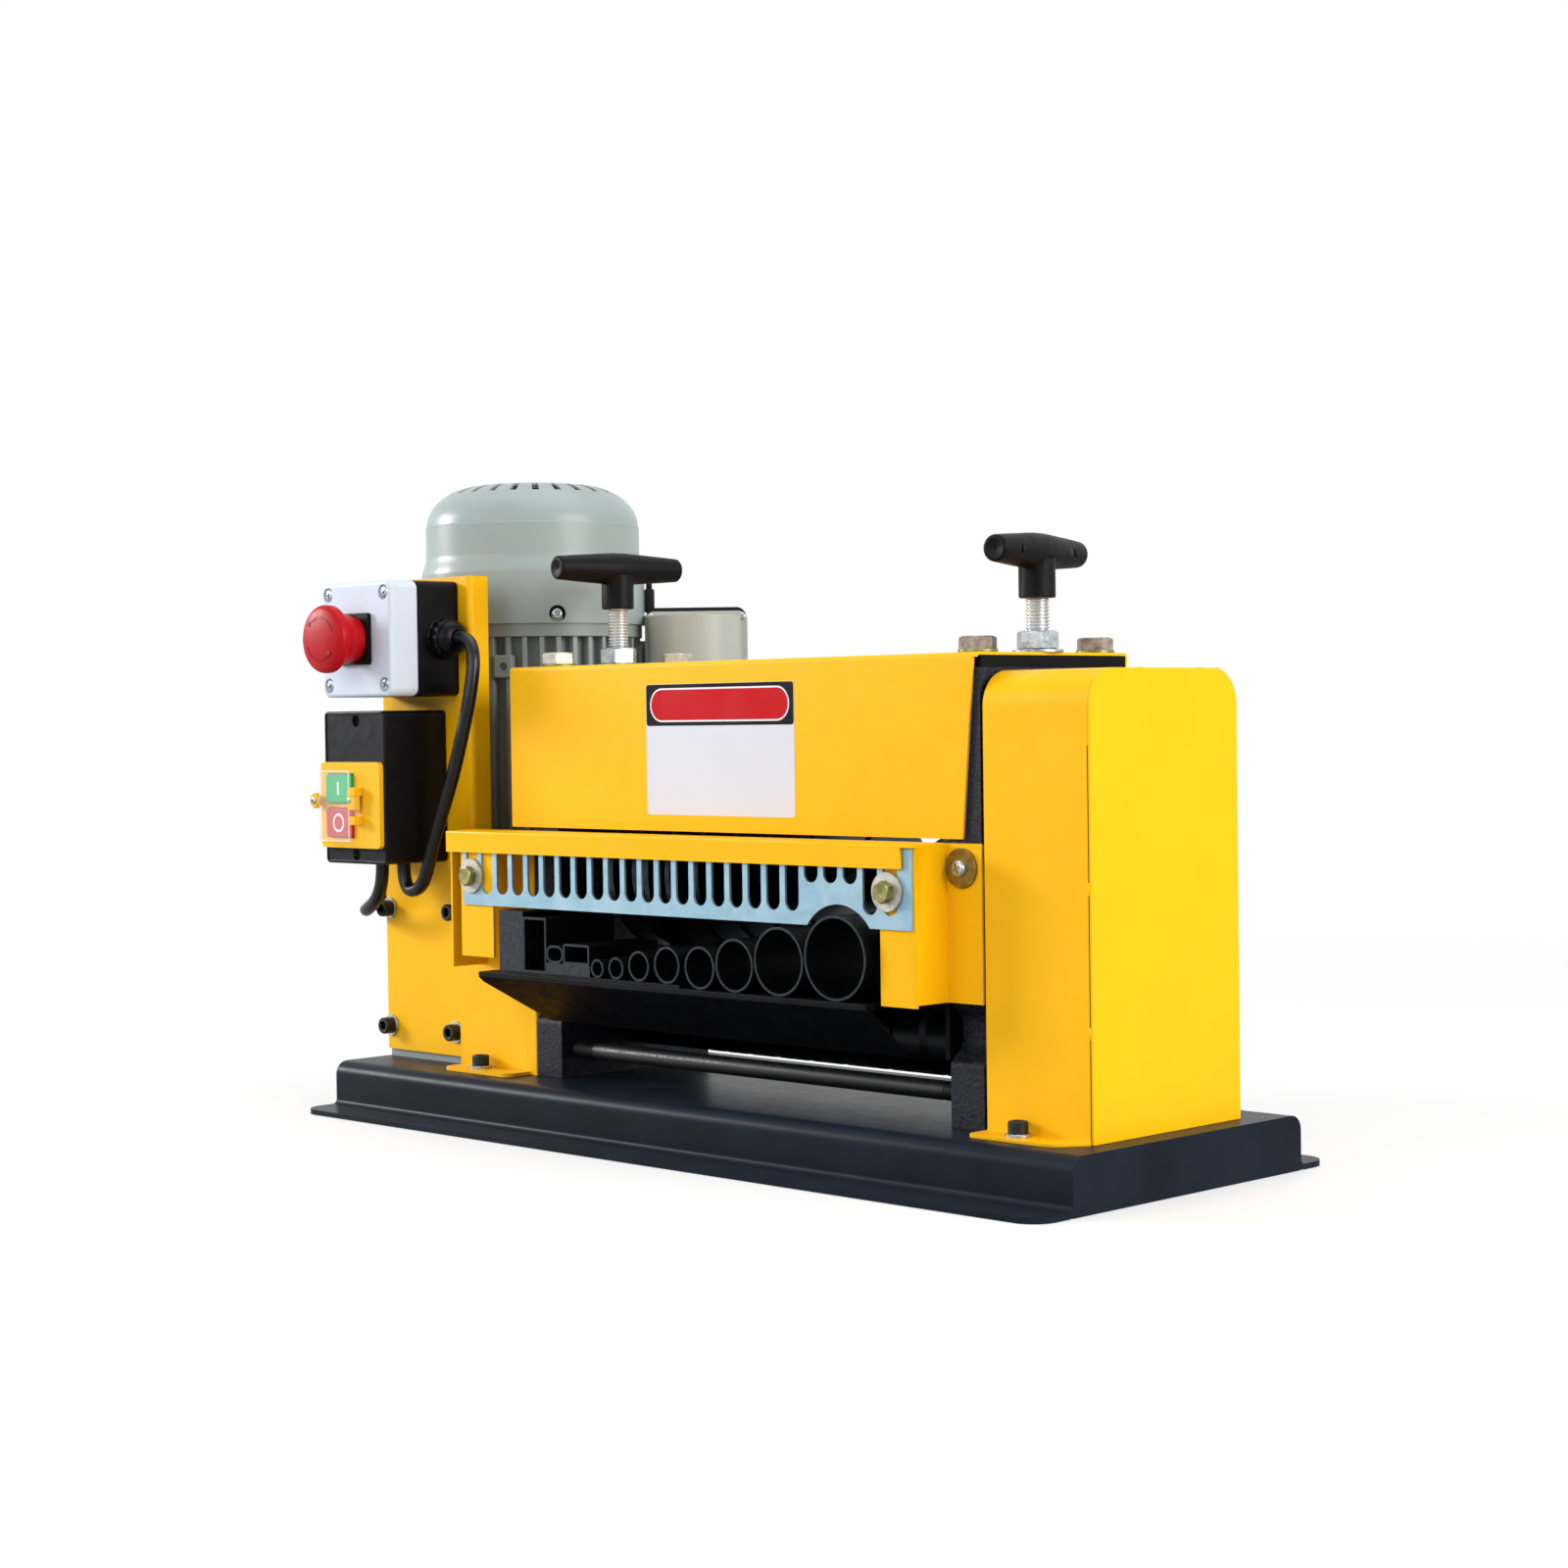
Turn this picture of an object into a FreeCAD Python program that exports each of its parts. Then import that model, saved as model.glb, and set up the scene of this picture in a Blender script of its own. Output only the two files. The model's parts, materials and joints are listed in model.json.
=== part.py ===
import FreeCAD, Part
import math
import os

# Wire stripping machine for a bench: a powered feed roller shaft, a row of disc blades above it,
# guide channels in front, two T-handles that set the blade height, and a worm gear motor.
# Millimetres. X runs along the base, the operator stands at -Y, Z is up.
# Places are worked out from the middle of the base. The last step moves everything so that the
# origin is the middle of the machine's outline on the bench, with the overhang of the motor counted.

vector = FreeCAD.Vector

# Fits
running_gap = 0.08
slide_gap = 0.3
button_gap = 0.4
spare_depth = 2.0
shaft_end_gap = 0.5

# How far a cut runs past the face it opens
past = 1.0

# Base: a folded channel with two flanges and welded end plates
base_length = 573.0
base_width = 182.0
base_height = 28.5
base_sheet = 3.0
base_flange = 26.0
base_bend = 8.0
base_flange_bend = 6.0
flange_corner = 14.0

# Gear pair between the feed shaft and the cutter shaft
gear_module = 4.0
feed_teeth = 16
cutter_teeth = 24
gear_width = 18.0
gear_backlash = 0.5
gear_addendum = 1.0
gear_dedendum = 1.2
pressure_angle = 20.0
gear_floor_gap = 2.5
gear_side_gap = 8.0
gear_wall_gap = 5.0
hub_radius = 17.0
hub_width = 6.0

# Side frames: two castings
frame_gap = 297.0
frame_middle = 33.5
frame_thickness = 22.0
frame_depth = 115.0
frame_height = 228.0
waist_depth = 9.5
waist_height = 14.0
waist_slope = 8.0
waist_rise = 32.5
waist_corner = 4.0
waist_fillet = 8.0
window_head_gap = 1.0
frame_screw_setback = 19.0

# Shafts and bearings
journal_radius = 10.0
shaft_radius = 12.5
bearing_radius = 21.0
bearing_width = 12.0
roller_radius = 22.5
roller_spacing = 2.0
roller_end_gap = 1.0
groove_depth = 3.0
shoulder_gap = 1.0
shaft_stub = 3.0

# Sliding bearing blocks
block_width = 53.4
window_corner = 3.0
block_below = 28.0
block_above = 39.0
keeper_height = 8.0
block_lip = 5.0
block_lip_thickness = 3.6
block_lip_inset = 4.0
block_lip_corner = 4.0
head_travel = 4.0
foot_radius = 8.0
foot_height = 5.4

# T-handles and their studs
stud_radius = 6.0
stud_pitch = 1.75
handle_stem_radius = 9.7
handle_clearance = 33.7
handle_rise = 23.5
handle_length = 86.0
handle_end_radius = 7.0
handle_middle_radius = 9.6
handle_middle_length = 24.0
handle_end_chamfer = 2.0
handle_end_straight = 8.0
handle_stem_chamfer = 1.0
handle_stud_drop = 5.0
right_handle_drop = 6.0
left_handle_turn = -6.5
right_handle_turn = 11.0

# Top plate and folded top cover
top_plate_thickness = 6.0
top_plate_overhang = 13.0
top_plate_front = 56.0
top_plate_rear = 57.0
cover_sheet = 1.5
cover_left_overhang = 17.0
cover_right_inset = 1.0
cover_front_gap = 0.2
cover_rear_gap = 1.5
cover_hood_gap = 2.0
cover_rear_drop = 7.0
cover_bend = 2.5
cover_slant = 8.0
cover_front_inset = 2.0

# Nuts and bolts
m12_nut_across = 19.0
m12_nut_height = 9.5
m12_washer_radius = 13.0
m10_radius = 5.0
m10_across = 17.0
m10_head = 6.4
m10_washer_radius = 10.0
m10_depth = 26.0
m6_radius = 3.0
m6_across = 10.0
m6_head = 4.2
m6_washer_radius = 10.0
m6_cap_radius = 5.0
m6_cap_height = 6.0
m6_cap_washer = 6.5
m6_length = 12.0
screw_end = 3.0
washer_thickness = 1.6
top_bolt_offset = 46.0
base_bolt_offset = 30.0
reducer_bolt_offset = 20.0
reducer_bolt_front = -34.0
reducer_bolt_rear = 70.0

# Guard hood with its legs, and the comb plate
hood_sheet = 1.5
hood_top = 170.0
hood_reach = 28.5
hood_lip = 12.0
hood_left = -182.5
hood_side_drop = 79.0
hood_flange = 22.5
hood_leg_setback = 3.5
hood_frame_gap = 0.5
right_leg_width = 23.8
right_leg_drop = 80.4
left_leg_inset = 9.5
left_leg_width = 29.0
left_leg_drop = 72.0
hood_notch_width = 7.0
flange_screw_drop = 12.3
flange_screw_reach = 10.0
comb_sheet = 1.5
comb_left = -169.3
comb_right_inset = 1.2
comb_height = 40.2
comb_top_gap = 0.5
slot_first = -161.0
slot_pitch = 13.67
slot_count = 25
slot_width = 9.9
slot_foot = 6.7
slot_top = 5.0
right_bolt_shift = 1.5
left_bolt_drop = 25.5
right_bolt_drop = 23.5
comb_screw_reach = 4.0
short_slots = (20, 21, 22)
short_slot_rise = 14.9
arch_gap = 5.5
guide_comb_gap = 1.0

# Guide channels, from small to large; the wall is the same for all
guide_front_reach = 29.5
guide_rear = -36.0
guide_wall = 1.3
small_guides = (10.4, 12.2)
medium_guides = (16.5, 20.0, 22.8)
large_guides = (28.1, 35.6, 43.0)
small_guide_gap = 4.1
first_guide_gap = 1.4
channel_end_gap = 2.5
channel_gap = 0.1
support_margin = 0.5
large_guide_gap = 0.8
wide_gap_count = 4
tall_channel = (20.0, 31.0)
oval_channel = (14.3, 9.8)
flat_channel = (21.9, 11.2)
oval_corner = 4.8
flat_corner = 1.5
channel_support = 6.3
end_block_width = 21.0
end_block_height = 34.0
packing_height = 1.5
tray_roller_gap = 1.0
tray_sheet = 3.0
tray_front_reach = 3.0
tray_front_left = -149.0
tray_front_right = 155.0
tray_side_gap = 0.5
tray_slope_top = 3.9
tray_slope_foot = 2.8
tray_fold_rear = 61.8
tray_fold_drop = 25.5
tray_fold_left = -118.0
tray_fold_right = 156.5

# Blades
blade_thickness = 3.0
blade_bevel = 2.0
blade_bite = 6.0
large_blade_bite = 8.0
spacer_radius = 17.0

# Worm reducer and motor
drive_setback = 113.5
worm_distance = 40.0
worm_radius = 10.0
worm_length = 50.0
wheel_width = 20.0
wheel_mesh_gap = 0.4
reducer_width = 71.0
reducer_rise = 67.0
reducer_rear = 85.0
reducer_corner = 14.0
reducer_cap_radius = 36.0
reducer_cap = 3.0
reducer_boss_radius = 30.0
reducer_boss = 9.0
reducer_wall = 3.5
reducer_floor = 4.0
wheel_room_gap = 2.0
motor_shaft_radius = 7.0
motor_flange_radius = 52.5
motor_flange_thickness = 12.0
fin_radius = 66.5
motor_core_radius = 59.0
fin_count = 40
fin_width = 3.0
motor_body_height = 138.0
end_shield_height = 14.0
rotor_radius = 30.0
rotor_air_gap = 1.0
rotor_margin = 12.0
stator_wall = 6.0
cowl_radius = 69.5
cowl_wall = 1.8
cowl_skirt = 36.0
cowl_taper = 12.0
cowl_step = 3.0
cowl_straight = 19.0
cowl_dome = 25.5
cowl_top_radius = 31.0
cowl_overlap = 11.0
cowl_dome_steps = ((4.1, 10.7), (12.8, 19.4))
cowl_rim = 8.0
cowl_rim_drop = 1.2
vent_count = 16
vent_width = 3.5
vent_length = 12.0
vent_inset = 4.0
fan_blades = 6
fan_radius = 55.0
fan_height = 20.0
fan_gap = 5.0
fan_hub_radius = 12.0
fan_blade = 2.0
fan_blade_root = 2.0

# Terminal box on the motor, turned by a half right angle towards the right front
box_turn = 45.0
box_gap = 0.5
box_width = 46.0
box_depth = 19.0
box_offset = 9.0
box_height = 76.0
box_level = 76.0
box_wall = 2.0
lid_width = 64.0
lid_sheet = 3.0
lid_margin = 2.0
lid_corner = 6.0
dome_margin = 2.0
dome_radius = 29.0
dome_inset = 3.0
pad_width = 14.0
pad_margin = 2.0
pad_root = 4.0

# Switch plate and front bracket
plate_sheet = 2.0
plate_right = 50.5
plate_width = 86.0
plate_front = 51.5
plate_foot_gap = 4.5
plate_top = 319.4
plate_flange = 14.0
plate_screw_low = 19.0
plate_screw_high = 91.0
plate_screw_near = 18.0
plate_screw_far = 4.0
bracket_width = 71.0
bracket_top = 168.0
bracket_return = 30.0
bracket_foot = 17.5
bracket_screw_low = 40.0
bracket_foot_left = 5.0
bracket_foot_width = 60.0
bracket_foot_corner = 6.0
foot_screw_along = 24.0
foot_screw_out = 7.9

# Emergency stop
stop_box_size = 68.0
stop_box_x = -45.0
stop_box_drop = 2.9
stop_body_depth = 29.1
stop_cover_depth = 20.8
stop_wall = 3.0
stop_corner = 4.0
contact_half = 14.0
contact_depth = 12.0
stop_bezel_size = 30.5
stop_bezel_depth = 2.8
stop_bezel_corner = 2.0
stop_stem_reach = 6.0
stop_stem_radius = 13.5
stop_travel = 4.0
stop_neck_radius = 14.5
stop_neck_length = 8.5
stop_head_radius = 20.0
stop_head_length = 12.0
stop_head_dome = 4.0
stop_head_edge = (1.5, 2.0)
stop_dome_step = (3.0, 2.8)
stop_face_inset = 9.0
spigot_radius = 5.0
spigot_length = 6.0
gland_across = 22.5
gland_cap_radius = 9.5
gland_nut = 6.0
gland_cap = 8.0
gland_setback = 11.5
gland_turn = 30.0
gland_chamfer = (3.0, 2.0)

# Start and stop switch
switch_width = 59.0
switch_depth = 46.5
switch_height = 90.7
switch_x = -53.5
switch_gap = 8.3
switch_corner = 3.0
bezel_right_inset = 1.0
bezel_depth = 3.0
bezel_low = 9.5
bezel_height = 51.0
button_width = 25.0
button_height = 17.0
button_space = 3.5
button_left = 7.5
button_depth = 14.0
button_proud = 2.0
button_travel = 3.0
button_low = 6.4
button_corner = 2.0
flap_sheet = 1.5
flap_gap = 1.5
flap_margin = 2.0
flap_pin_radius = 1.5
flap_knuckle = 2.4
flap_ear_half = 2.6
flap_ear_width = 5.0
flap_ear = 4.0
flap_pin_stand = 3.5
flap_ear_height = 12.0
flap_ear_gap = 0.4
flap_reach = 7.5
flap_tab_half = 5.0

# Gear cover
gear_sheet = 1.5
gear_cover_gap = 2.5
gear_cover_corner = 18.0
gear_cover_foot = 17.0
gear_screw_setback = 7.5
gear_screw_along = 26.0
gear_cover_foot_inset = 12.0
gear_foot_corner = 6.0
gear_foot_round = 12.0
gear_cover_drop = 1.7
gear_cover_width = 66.5

# Tie rod between the frames
tie_rod_radius = 5.0
tie_rod_y = -44.0
tie_rod_rise = 15.9
tie_rod_socket = 10.0

# Leads: outer radius, and the routes as points from the middle of the base
lead_radius = 4.0
lead_sides = 8
stop_lead_route = [
    (-197.0, -63.0, 282.5),
    (-187.0, -63.0, 282.5),
    (-178.0, -66.0, 271.0),
    (-178.5, -69.0, 249.0),
    (-184.0, -71.0, 226.0),
    (-191.5, -72.0, 203.0),
    (-201.0, -73.0, 181.0),
    (-211.0, -73.0, 162.0),
    (-217.0, -72.5, 146.0),
    (-224.0, -72.0, 135.0),
    (-236.0, -72.0, 132.0),
    (-241.0, -72.0, 140.0),
    (-241.0, -72.0, 149.5),
]
motor_lead_route = [
    (-258.0, -75.0, 149.5),
    (-258.0, -75.0, 139.0),
    (-266.0, -73.0, 127.0),
    (-280.0, -70.0, 120.0),
    (-295.0, -61.0, 118.0),
    (-301.0, -47.0, 123.0),
    (-295.0, -37.0, 138.0),
    (-282.0, -36.0, 150.0),
    (-262.0, -37.5, 155.0),
    (-236.0, -38.0, 157.0),
    (-209.0, -30.0, 158.0),
    (-186.0, -12.0, 160.0),
    (-170.0, 14.0, 163.0),
    (-164.0, 45.0, 169.0),
    (-167.0, 74.0, 177.0),
    (-177.0, 96.0, 188.0),
    (-186.0, 106.0, 204.0),
    (-186.0, 106.0, 222.0),
]

# Heights and places that follow from the sizes above
base_top = base_height
feed_tip = gear_module * (feed_teeth / 2 + gear_addendum)
cutter_tip = gear_module * (cutter_teeth / 2 + gear_addendum)
feed_z = base_top + feed_tip + gear_floor_gap
cutter_z = feed_z + gear_module * (feed_teeth + cutter_teeth) / 2
left_inner = frame_middle - frame_gap / 2
right_inner = frame_middle + frame_gap / 2
left_outer = left_inner - frame_thickness
right_outer = right_inner + frame_thickness
left_x = left_inner - frame_thickness / 2
right_x = right_inner + frame_thickness / 2
frame_half = frame_depth / 2
frame_top = base_top + frame_height
block_low = cutter_z - block_below
block_top = cutter_z + block_above
keeper_low = block_top - keeper_height
plate_under = frame_top
plate_over = frame_top + top_plate_thickness
cover_over = plate_over + cover_sheet
cover_left = left_outer - cover_left_overhang
cover_right = right_outer - cover_right_inset
cover_front = -frame_half - cover_front_gap - cover_sheet
cover_rear = top_plate_rear + cover_rear_gap + cover_sheet
cover_low = hood_top + cover_hood_gap
gear_cover_top = frame_top - gear_cover_drop
hood_right = right_inner + hood_frame_gap
hood_front = -frame_half - hood_reach
leg_front = hood_front + hood_leg_setback
comb_rear = leg_front
comb_front = comb_rear - comb_sheet
tray_top = feed_z + roller_radius + tray_roller_gap
channel_floor = tray_top + packing_height
guide_front = -frame_half - guide_front_reach
drive_x = left_outer - drive_setback
reducer_top = feed_z + reducer_rise
motor_low = reducer_top + motor_flange_thickness
motor_high = motor_low + motor_body_height + end_shield_height
box_near = cowl_radius + box_gap
box_low = motor_low + box_level
lid_far = box_near + lid_width
switch_plate_right = drive_x + plate_right
switch_plate_left = switch_plate_right - plate_width

# Points, profiles and turned pieces
unit = {"x": vector(1, 0, 0), "y": vector(0, 1, 0), "z": vector(0, 0, 1)}
radial = {"x": vector(0, 0, 1), "y": vector(0, 0, 1), "z": vector(1, 0, 0)}


def place(a, b, axis):
    # a point in the plane across an axis
    if axis == "x":
        return vector(0, a, b)
    if axis == "y":
        return vector(a, 0, b)
    return vector(a, b, 0)


def outline(corners, axis):
    # straight sides, with a tangent arc at each corner that states a radius
    points = [place(corner[0], corner[1], axis) for corner in corners]
    starts = []
    ends = []
    middles = []
    for index, corner in enumerate(corners):
        point = points[index]
        radius = corner[2] if len(corner) > 2 else 0
        if radius == 0:
            starts.append(point)
            ends.append(point)
            middles.append(None)
            continue
        back = (points[index - 1] - point).normalize()
        ahead = (points[(index + 1) % len(points)] - point).normalize()
        half = back.getAngle(ahead) / 2
        cut = radius / math.tan(half)
        inward = (back + ahead).normalize()
        centre = point + inward * (radius / math.sin(half))
        starts.append(point + back * cut)
        ends.append(point + ahead * cut)
        middles.append(centre - inward * radius)
    edges = []
    for index in range(len(points)):
        if middles[index] is not None:
            edges.append(Part.Arc(starts[index], middles[index], ends[index]).toShape())
        after = starts[(index + 1) % len(points)]
        if ends[index].distanceToPoint(after) > 1e-6:
            edges.append(Part.LineSegment(ends[index], after).toShape())
    return Part.Wire(edges)


def prism(corners, axis, start, end):
    face = Part.Face(outline(corners, axis))
    face.translate(unit[axis] * start)
    return face.extrude(unit[axis] * (end - start))


def block(x0, x1, y0, y1, z0, z1):
    return Part.makeBox(x1 - x0, y1 - y0, z1 - z0, vector(x0, y0, z0))


def rod(radius, axis, a, b, start, end):
    low = min(start, end)
    base = place(a, b, axis) + unit[axis] * low
    return Part.makeCylinder(radius, abs(end - start), base, unit[axis])


def turned(profile, axis, a, b):
    # profile: (radius, distance along the axis)
    centre = place(a, b, axis)
    points = [centre + unit[axis] * along + radial[axis] * radius for radius, along in profile]
    points.append(points[0])
    face = Part.Face(Part.makePolygon(points))
    return face.revolve(centre, unit[axis], 360)


def hexagon(across, axis, a, b, start, end, turn=0):
    radius = across / math.sqrt(3)
    corners = []
    for side in range(6):
        angle = math.radians(60 * side + turn)
        corners.append((a + radius * math.cos(angle), b + radius * math.sin(angle)))
    return prism(corners, axis, start, end)


def joined(*pieces):
    shape = pieces[0]
    for piece in pieces[1:]:
        shape = shape.fuse(piece)
    return shape.removeSplitter()


def without(shape, *cuts):
    for cut in cuts:
        shape = shape.cut(cut)
    return shape


def hex_bolt(axis, a, b, seat, way, length, radius, across, head, washer):
    # seat: where the washer lies; way: +1 or -1, out of the seat
    body = turned(
        [
            (0, seat - way * length),
            (radius, seat - way * length),
            (radius, seat),
            (washer, seat),
            (washer, seat + way * washer_thickness),
            (0, seat + way * washer_thickness),
        ],
        axis, a, b,
    )
    under = seat + way * washer_thickness
    over = under + way * head
    return joined(body, hexagon(across, axis, a, b, min(under, over), max(under, over)))


def cap_screw(axis, a, b, seat, way, length, washer=m6_cap_washer):
    return turned(
        [
            (0, seat - way * length),
            (m6_radius, seat - way * length),
            (m6_radius, seat),
            (washer, seat),
            (washer, seat + way * washer_thickness),
            (m6_cap_radius, seat + way * washer_thickness),
            (m6_cap_radius, seat + way * (washer_thickness + m6_cap_height)),
            (0, seat + way * (washer_thickness + m6_cap_height)),
        ],
        axis, a, b,
    )


def screw_hole(axis, a, b, start, end):
    return rod(m6_radius, axis, a, b, start, end)


# The origin: the middle of the outline on the bench, from the motor's overhang to the base's end
overhang = (drive_x - cowl_radius) + base_length / 2
to_origin = vector(-overhang / 2, 0, 0)
made = {}


def save(name, *solids):
    shape = solids[0] if len(solids) == 1 else Part.makeCompound(list(solids))
    shape = shape.copy()
    shape.translate(to_origin)
    shape.exportStep("parts/" + name + ".step")
    made[name] = shape


# Screw places that two or more pieces share
plate_screws = []
for screw_x in (switch_plate_left + plate_screw_far, switch_plate_right - plate_screw_near):
    for screw_z in (base_top + plate_screw_low, base_top + plate_screw_high):
        plate_screws.append((screw_x, screw_z))
bracket_left = left_outer - bracket_width
foot_screw_x = bracket_left + bracket_foot_left + foot_screw_along
foot_screw_y = -frame_half - foot_screw_out
frame_screw_y = -frame_half + frame_screw_setback
bracket_screw_levels = (base_top + bracket_screw_low, bracket_top - bracket_screw_low)
comb_right = hood_right - comb_right_inset
left_bolt_x = slot_first
right_bolt_x = slot_first + slot_pitch * (slot_count - 1) - right_bolt_shift
left_bolt_z = hood_top - left_bolt_drop
right_bolt_z = hood_top - right_bolt_drop
flange_screw_z = hood_top - flange_screw_drop
right_flange_x = hood_right + flange_screw_reach
left_flange_x = hood_left - flange_screw_reach
gear_cover_left = right_outer + gear_cover_gap
gear_cover_right = gear_cover_left + gear_cover_width
gear_cover_inner = cutter_tip + gear_wall_gap
gear_cover_half = gear_cover_inner + gear_sheet
gear_foot_x = gear_cover_left + gear_screw_along
gear_foot_y = gear_cover_half + gear_screw_setback
base_bolts_at = [(x, y) for x in (left_x, right_x) for y in (-base_bolt_offset, base_bolt_offset)]
reducer_bolts_at = [
    (drive_x + x, y)
    for x in (-reducer_bolt_offset, reducer_bolt_offset)
    for y in (reducer_bolt_front, reducer_bolt_rear)
]
top_bolts_at = [(x, y) for x in (left_x, right_x) for y in (-top_bolt_offset, top_bolt_offset)]


# Base
def make_base():
    half = base_width / 2
    tip = half + base_flange
    inner = half - base_sheet
    under = base_height - base_sheet
    inside_bend = base_bend - base_sheet
    profile = [
        (-tip, 0), (-inner, 0, base_flange_bend), (-inner, under, inside_bend),
        (inner, under, inside_bend), (inner, 0, base_flange_bend), (tip, 0),
        (tip, base_sheet), (half, base_sheet, base_sheet), (half, base_height, base_bend),
        (-half, base_height, base_bend), (-half, base_sheet, base_sheet), (-tip, base_sheet),
    ]
    end = base_length / 2
    channel = prism(profile, "x", -end, end)
    plan = [
        (-end, -tip, flange_corner), (end, -tip, flange_corner),
        (end, tip, flange_corner), (-end, tip, flange_corner),
    ]
    channel = channel.common(prism(plan, "z", -past, base_height + past))
    closing = [
        (-half, 0), (half, 0), (half, base_height, base_bend), (-half, base_height, base_bend),
    ]
    end_plates = [
        prism(closing, "x", -end, base_sheet - end),
        prism(closing, "x", end - base_sheet, end),
    ]
    channel = without(channel, *end_plates)
    for x, y in base_bolts_at + reducer_bolts_at:
        channel = channel.cut(rod(m10_radius, "z", x, y, under - past, base_height + past))
    for x, y in ((foot_screw_x, foot_screw_y), (gear_foot_x, -gear_foot_y), (gear_foot_x, gear_foot_y)):
        channel = channel.cut(screw_hole("z", x, y, under - past, base_height + past))
    return [channel] + end_plates


# Side frames
def frame_outline():
    low = base_top + waist_rise
    high = low + waist_height + 2 * waist_slope
    neck = frame_half - waist_depth
    return [
        (-frame_half, base_top), (frame_half, base_top),
        (frame_half, low, waist_corner), (neck, low + waist_slope, waist_fillet),
        (neck, high - waist_slope, waist_fillet), (frame_half, high, waist_corner), (frame_half, frame_top),
        (-frame_half, frame_top), (-frame_half, high, waist_corner),
        (-neck, high - waist_slope, waist_fillet), (-neck, low + waist_slope, waist_fillet),
        (-frame_half, low, waist_corner),
    ]


def make_frame(inner, outer):
    low = min(inner, outer)
    high = max(inner, outer)
    middle = (inner + outer) / 2
    towards = 1 if outer > inner else -1
    frame = prism(frame_outline(), "x", low, high)
    wide = block_width / 2 + slide_gap
    window_low = block_low - slide_gap
    window_high = block_top + head_travel + window_head_gap
    window = [
        (-wide, window_low, window_corner), (wide, window_low, window_corner),
        (wide, window_high, window_corner), (-wide, window_high, window_corner),
    ]
    frame = frame.cut(prism(window, "x", low - past, high + past))
    frame = frame.cut(rod(bearing_radius, "x", 0, feed_z, low - past, high + past))
    frame = frame.cut(rod(stud_radius + running_gap, "z", middle, 0, block_top, frame_top + past))
    for bolt_y in (-top_bolt_offset, top_bolt_offset):
        frame = frame.cut(rod(m10_radius, "z", middle, bolt_y, frame_top - m10_depth, frame_top + past))
    for bolt_y in (-base_bolt_offset, base_bolt_offset):
        frame = frame.cut(rod(m10_radius, "z", middle, bolt_y, base_top - past, base_top + m10_depth))
    rod_z = base_top + tie_rod_rise
    frame = frame.cut(rod(tie_rod_radius, "x", tie_rod_y, rod_z, inner, inner + towards * tie_rod_socket))
    return frame


def make_side_frame_left():
    frame = make_frame(left_inner, left_outer)
    for screw_z in bracket_screw_levels:
        frame = frame.cut(screw_hole("x", frame_screw_y, screw_z, left_outer - past, left_outer + m6_length))
    return frame


def make_side_frame_right():
    frame = make_frame(right_inner, right_outer)
    front = -frame_half
    return frame.cut(screw_hole("y", right_flange_x, flange_screw_z, front - past, front + m6_length))


def make_tie_rod():
    rod_z = base_top + tie_rod_rise
    return rod(tie_rod_radius, "x", tie_rod_y, rod_z, left_inner - tie_rod_socket, right_inner + tie_rod_socket)


# Bearings: rings with a running gap around the shaft
def bearing(x, z):
    half = bearing_width / 2
    bore = journal_radius + running_gap
    return turned(
        [(bore, x - half), (bearing_radius, x - half), (bearing_radius, x + half), (bore, x + half)],
        "x", 0, z,
    )


# Sliding bearing blocks, each with the keeper that holds the foot of its stud
def make_bearing_block(inner, outer):
    middle = (inner + outer) / 2
    low = min(inner, outer)
    high = max(inner, outer)
    half = block_width / 2
    into = 1 if inner > outer else -1
    body = prism([(-half, block_low, window_corner), (half, block_low, window_corner), (half, keeper_low),
                  (-half, keeper_low)], "x", low, high)
    lip_start = inner + into * slide_gap
    lip_end = lip_start + into * block_lip_thickness
    lip_low = block_low + block_lip_inset
    lip_high = keeper_low - block_lip_inset
    lip = [
        (-half - block_lip, lip_low, block_lip_corner), (half + block_lip, lip_low, block_lip_corner),
        (half + block_lip, lip_high, block_lip_corner), (-half - block_lip, lip_high, block_lip_corner),
    ]
    bridge = block(min(inner, lip_start), max(inner, lip_start), -half, half, lip_low, lip_high)
    body = joined(body, bridge, prism(lip, "x", min(lip_start, lip_end), max(lip_start, lip_end)))
    body = body.cut(rod(bearing_radius, "x", 0, cutter_z, min(low, lip_end) - past, max(high, lip_end) + past))
    foot_low = keeper_low - foot_height - 2 * running_gap
    body = body.cut(rod(foot_radius + running_gap, "z", middle, 0, foot_low, keeper_low + past))
    keeper = prism([(-half, keeper_low), (half, keeper_low), (half, block_top, window_corner),
                    (-half, block_top, window_corner)], "x", low, high)
    keeper = keeper.cut(rod(stud_radius + running_gap, "z", middle, 0, keeper_low - past, block_top + past))
    return Part.makeCompound([body, keeper])


# Top plate and folded top cover
def make_top_plate():
    plate = block(left_outer - top_plate_overhang, right_outer, -top_plate_front, top_plate_rear,
                  plate_under, plate_over)
    for x in (left_x, right_x):
        plate = plate.cut(rod(stud_radius + slide_gap, "z", x, 0, plate_under - past, plate_over + past))
    for x, y in top_bolts_at:
        plate = plate.cut(rod(m10_radius, "z", x, y, plate_under - past, plate_over + past))
    return plate


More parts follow.
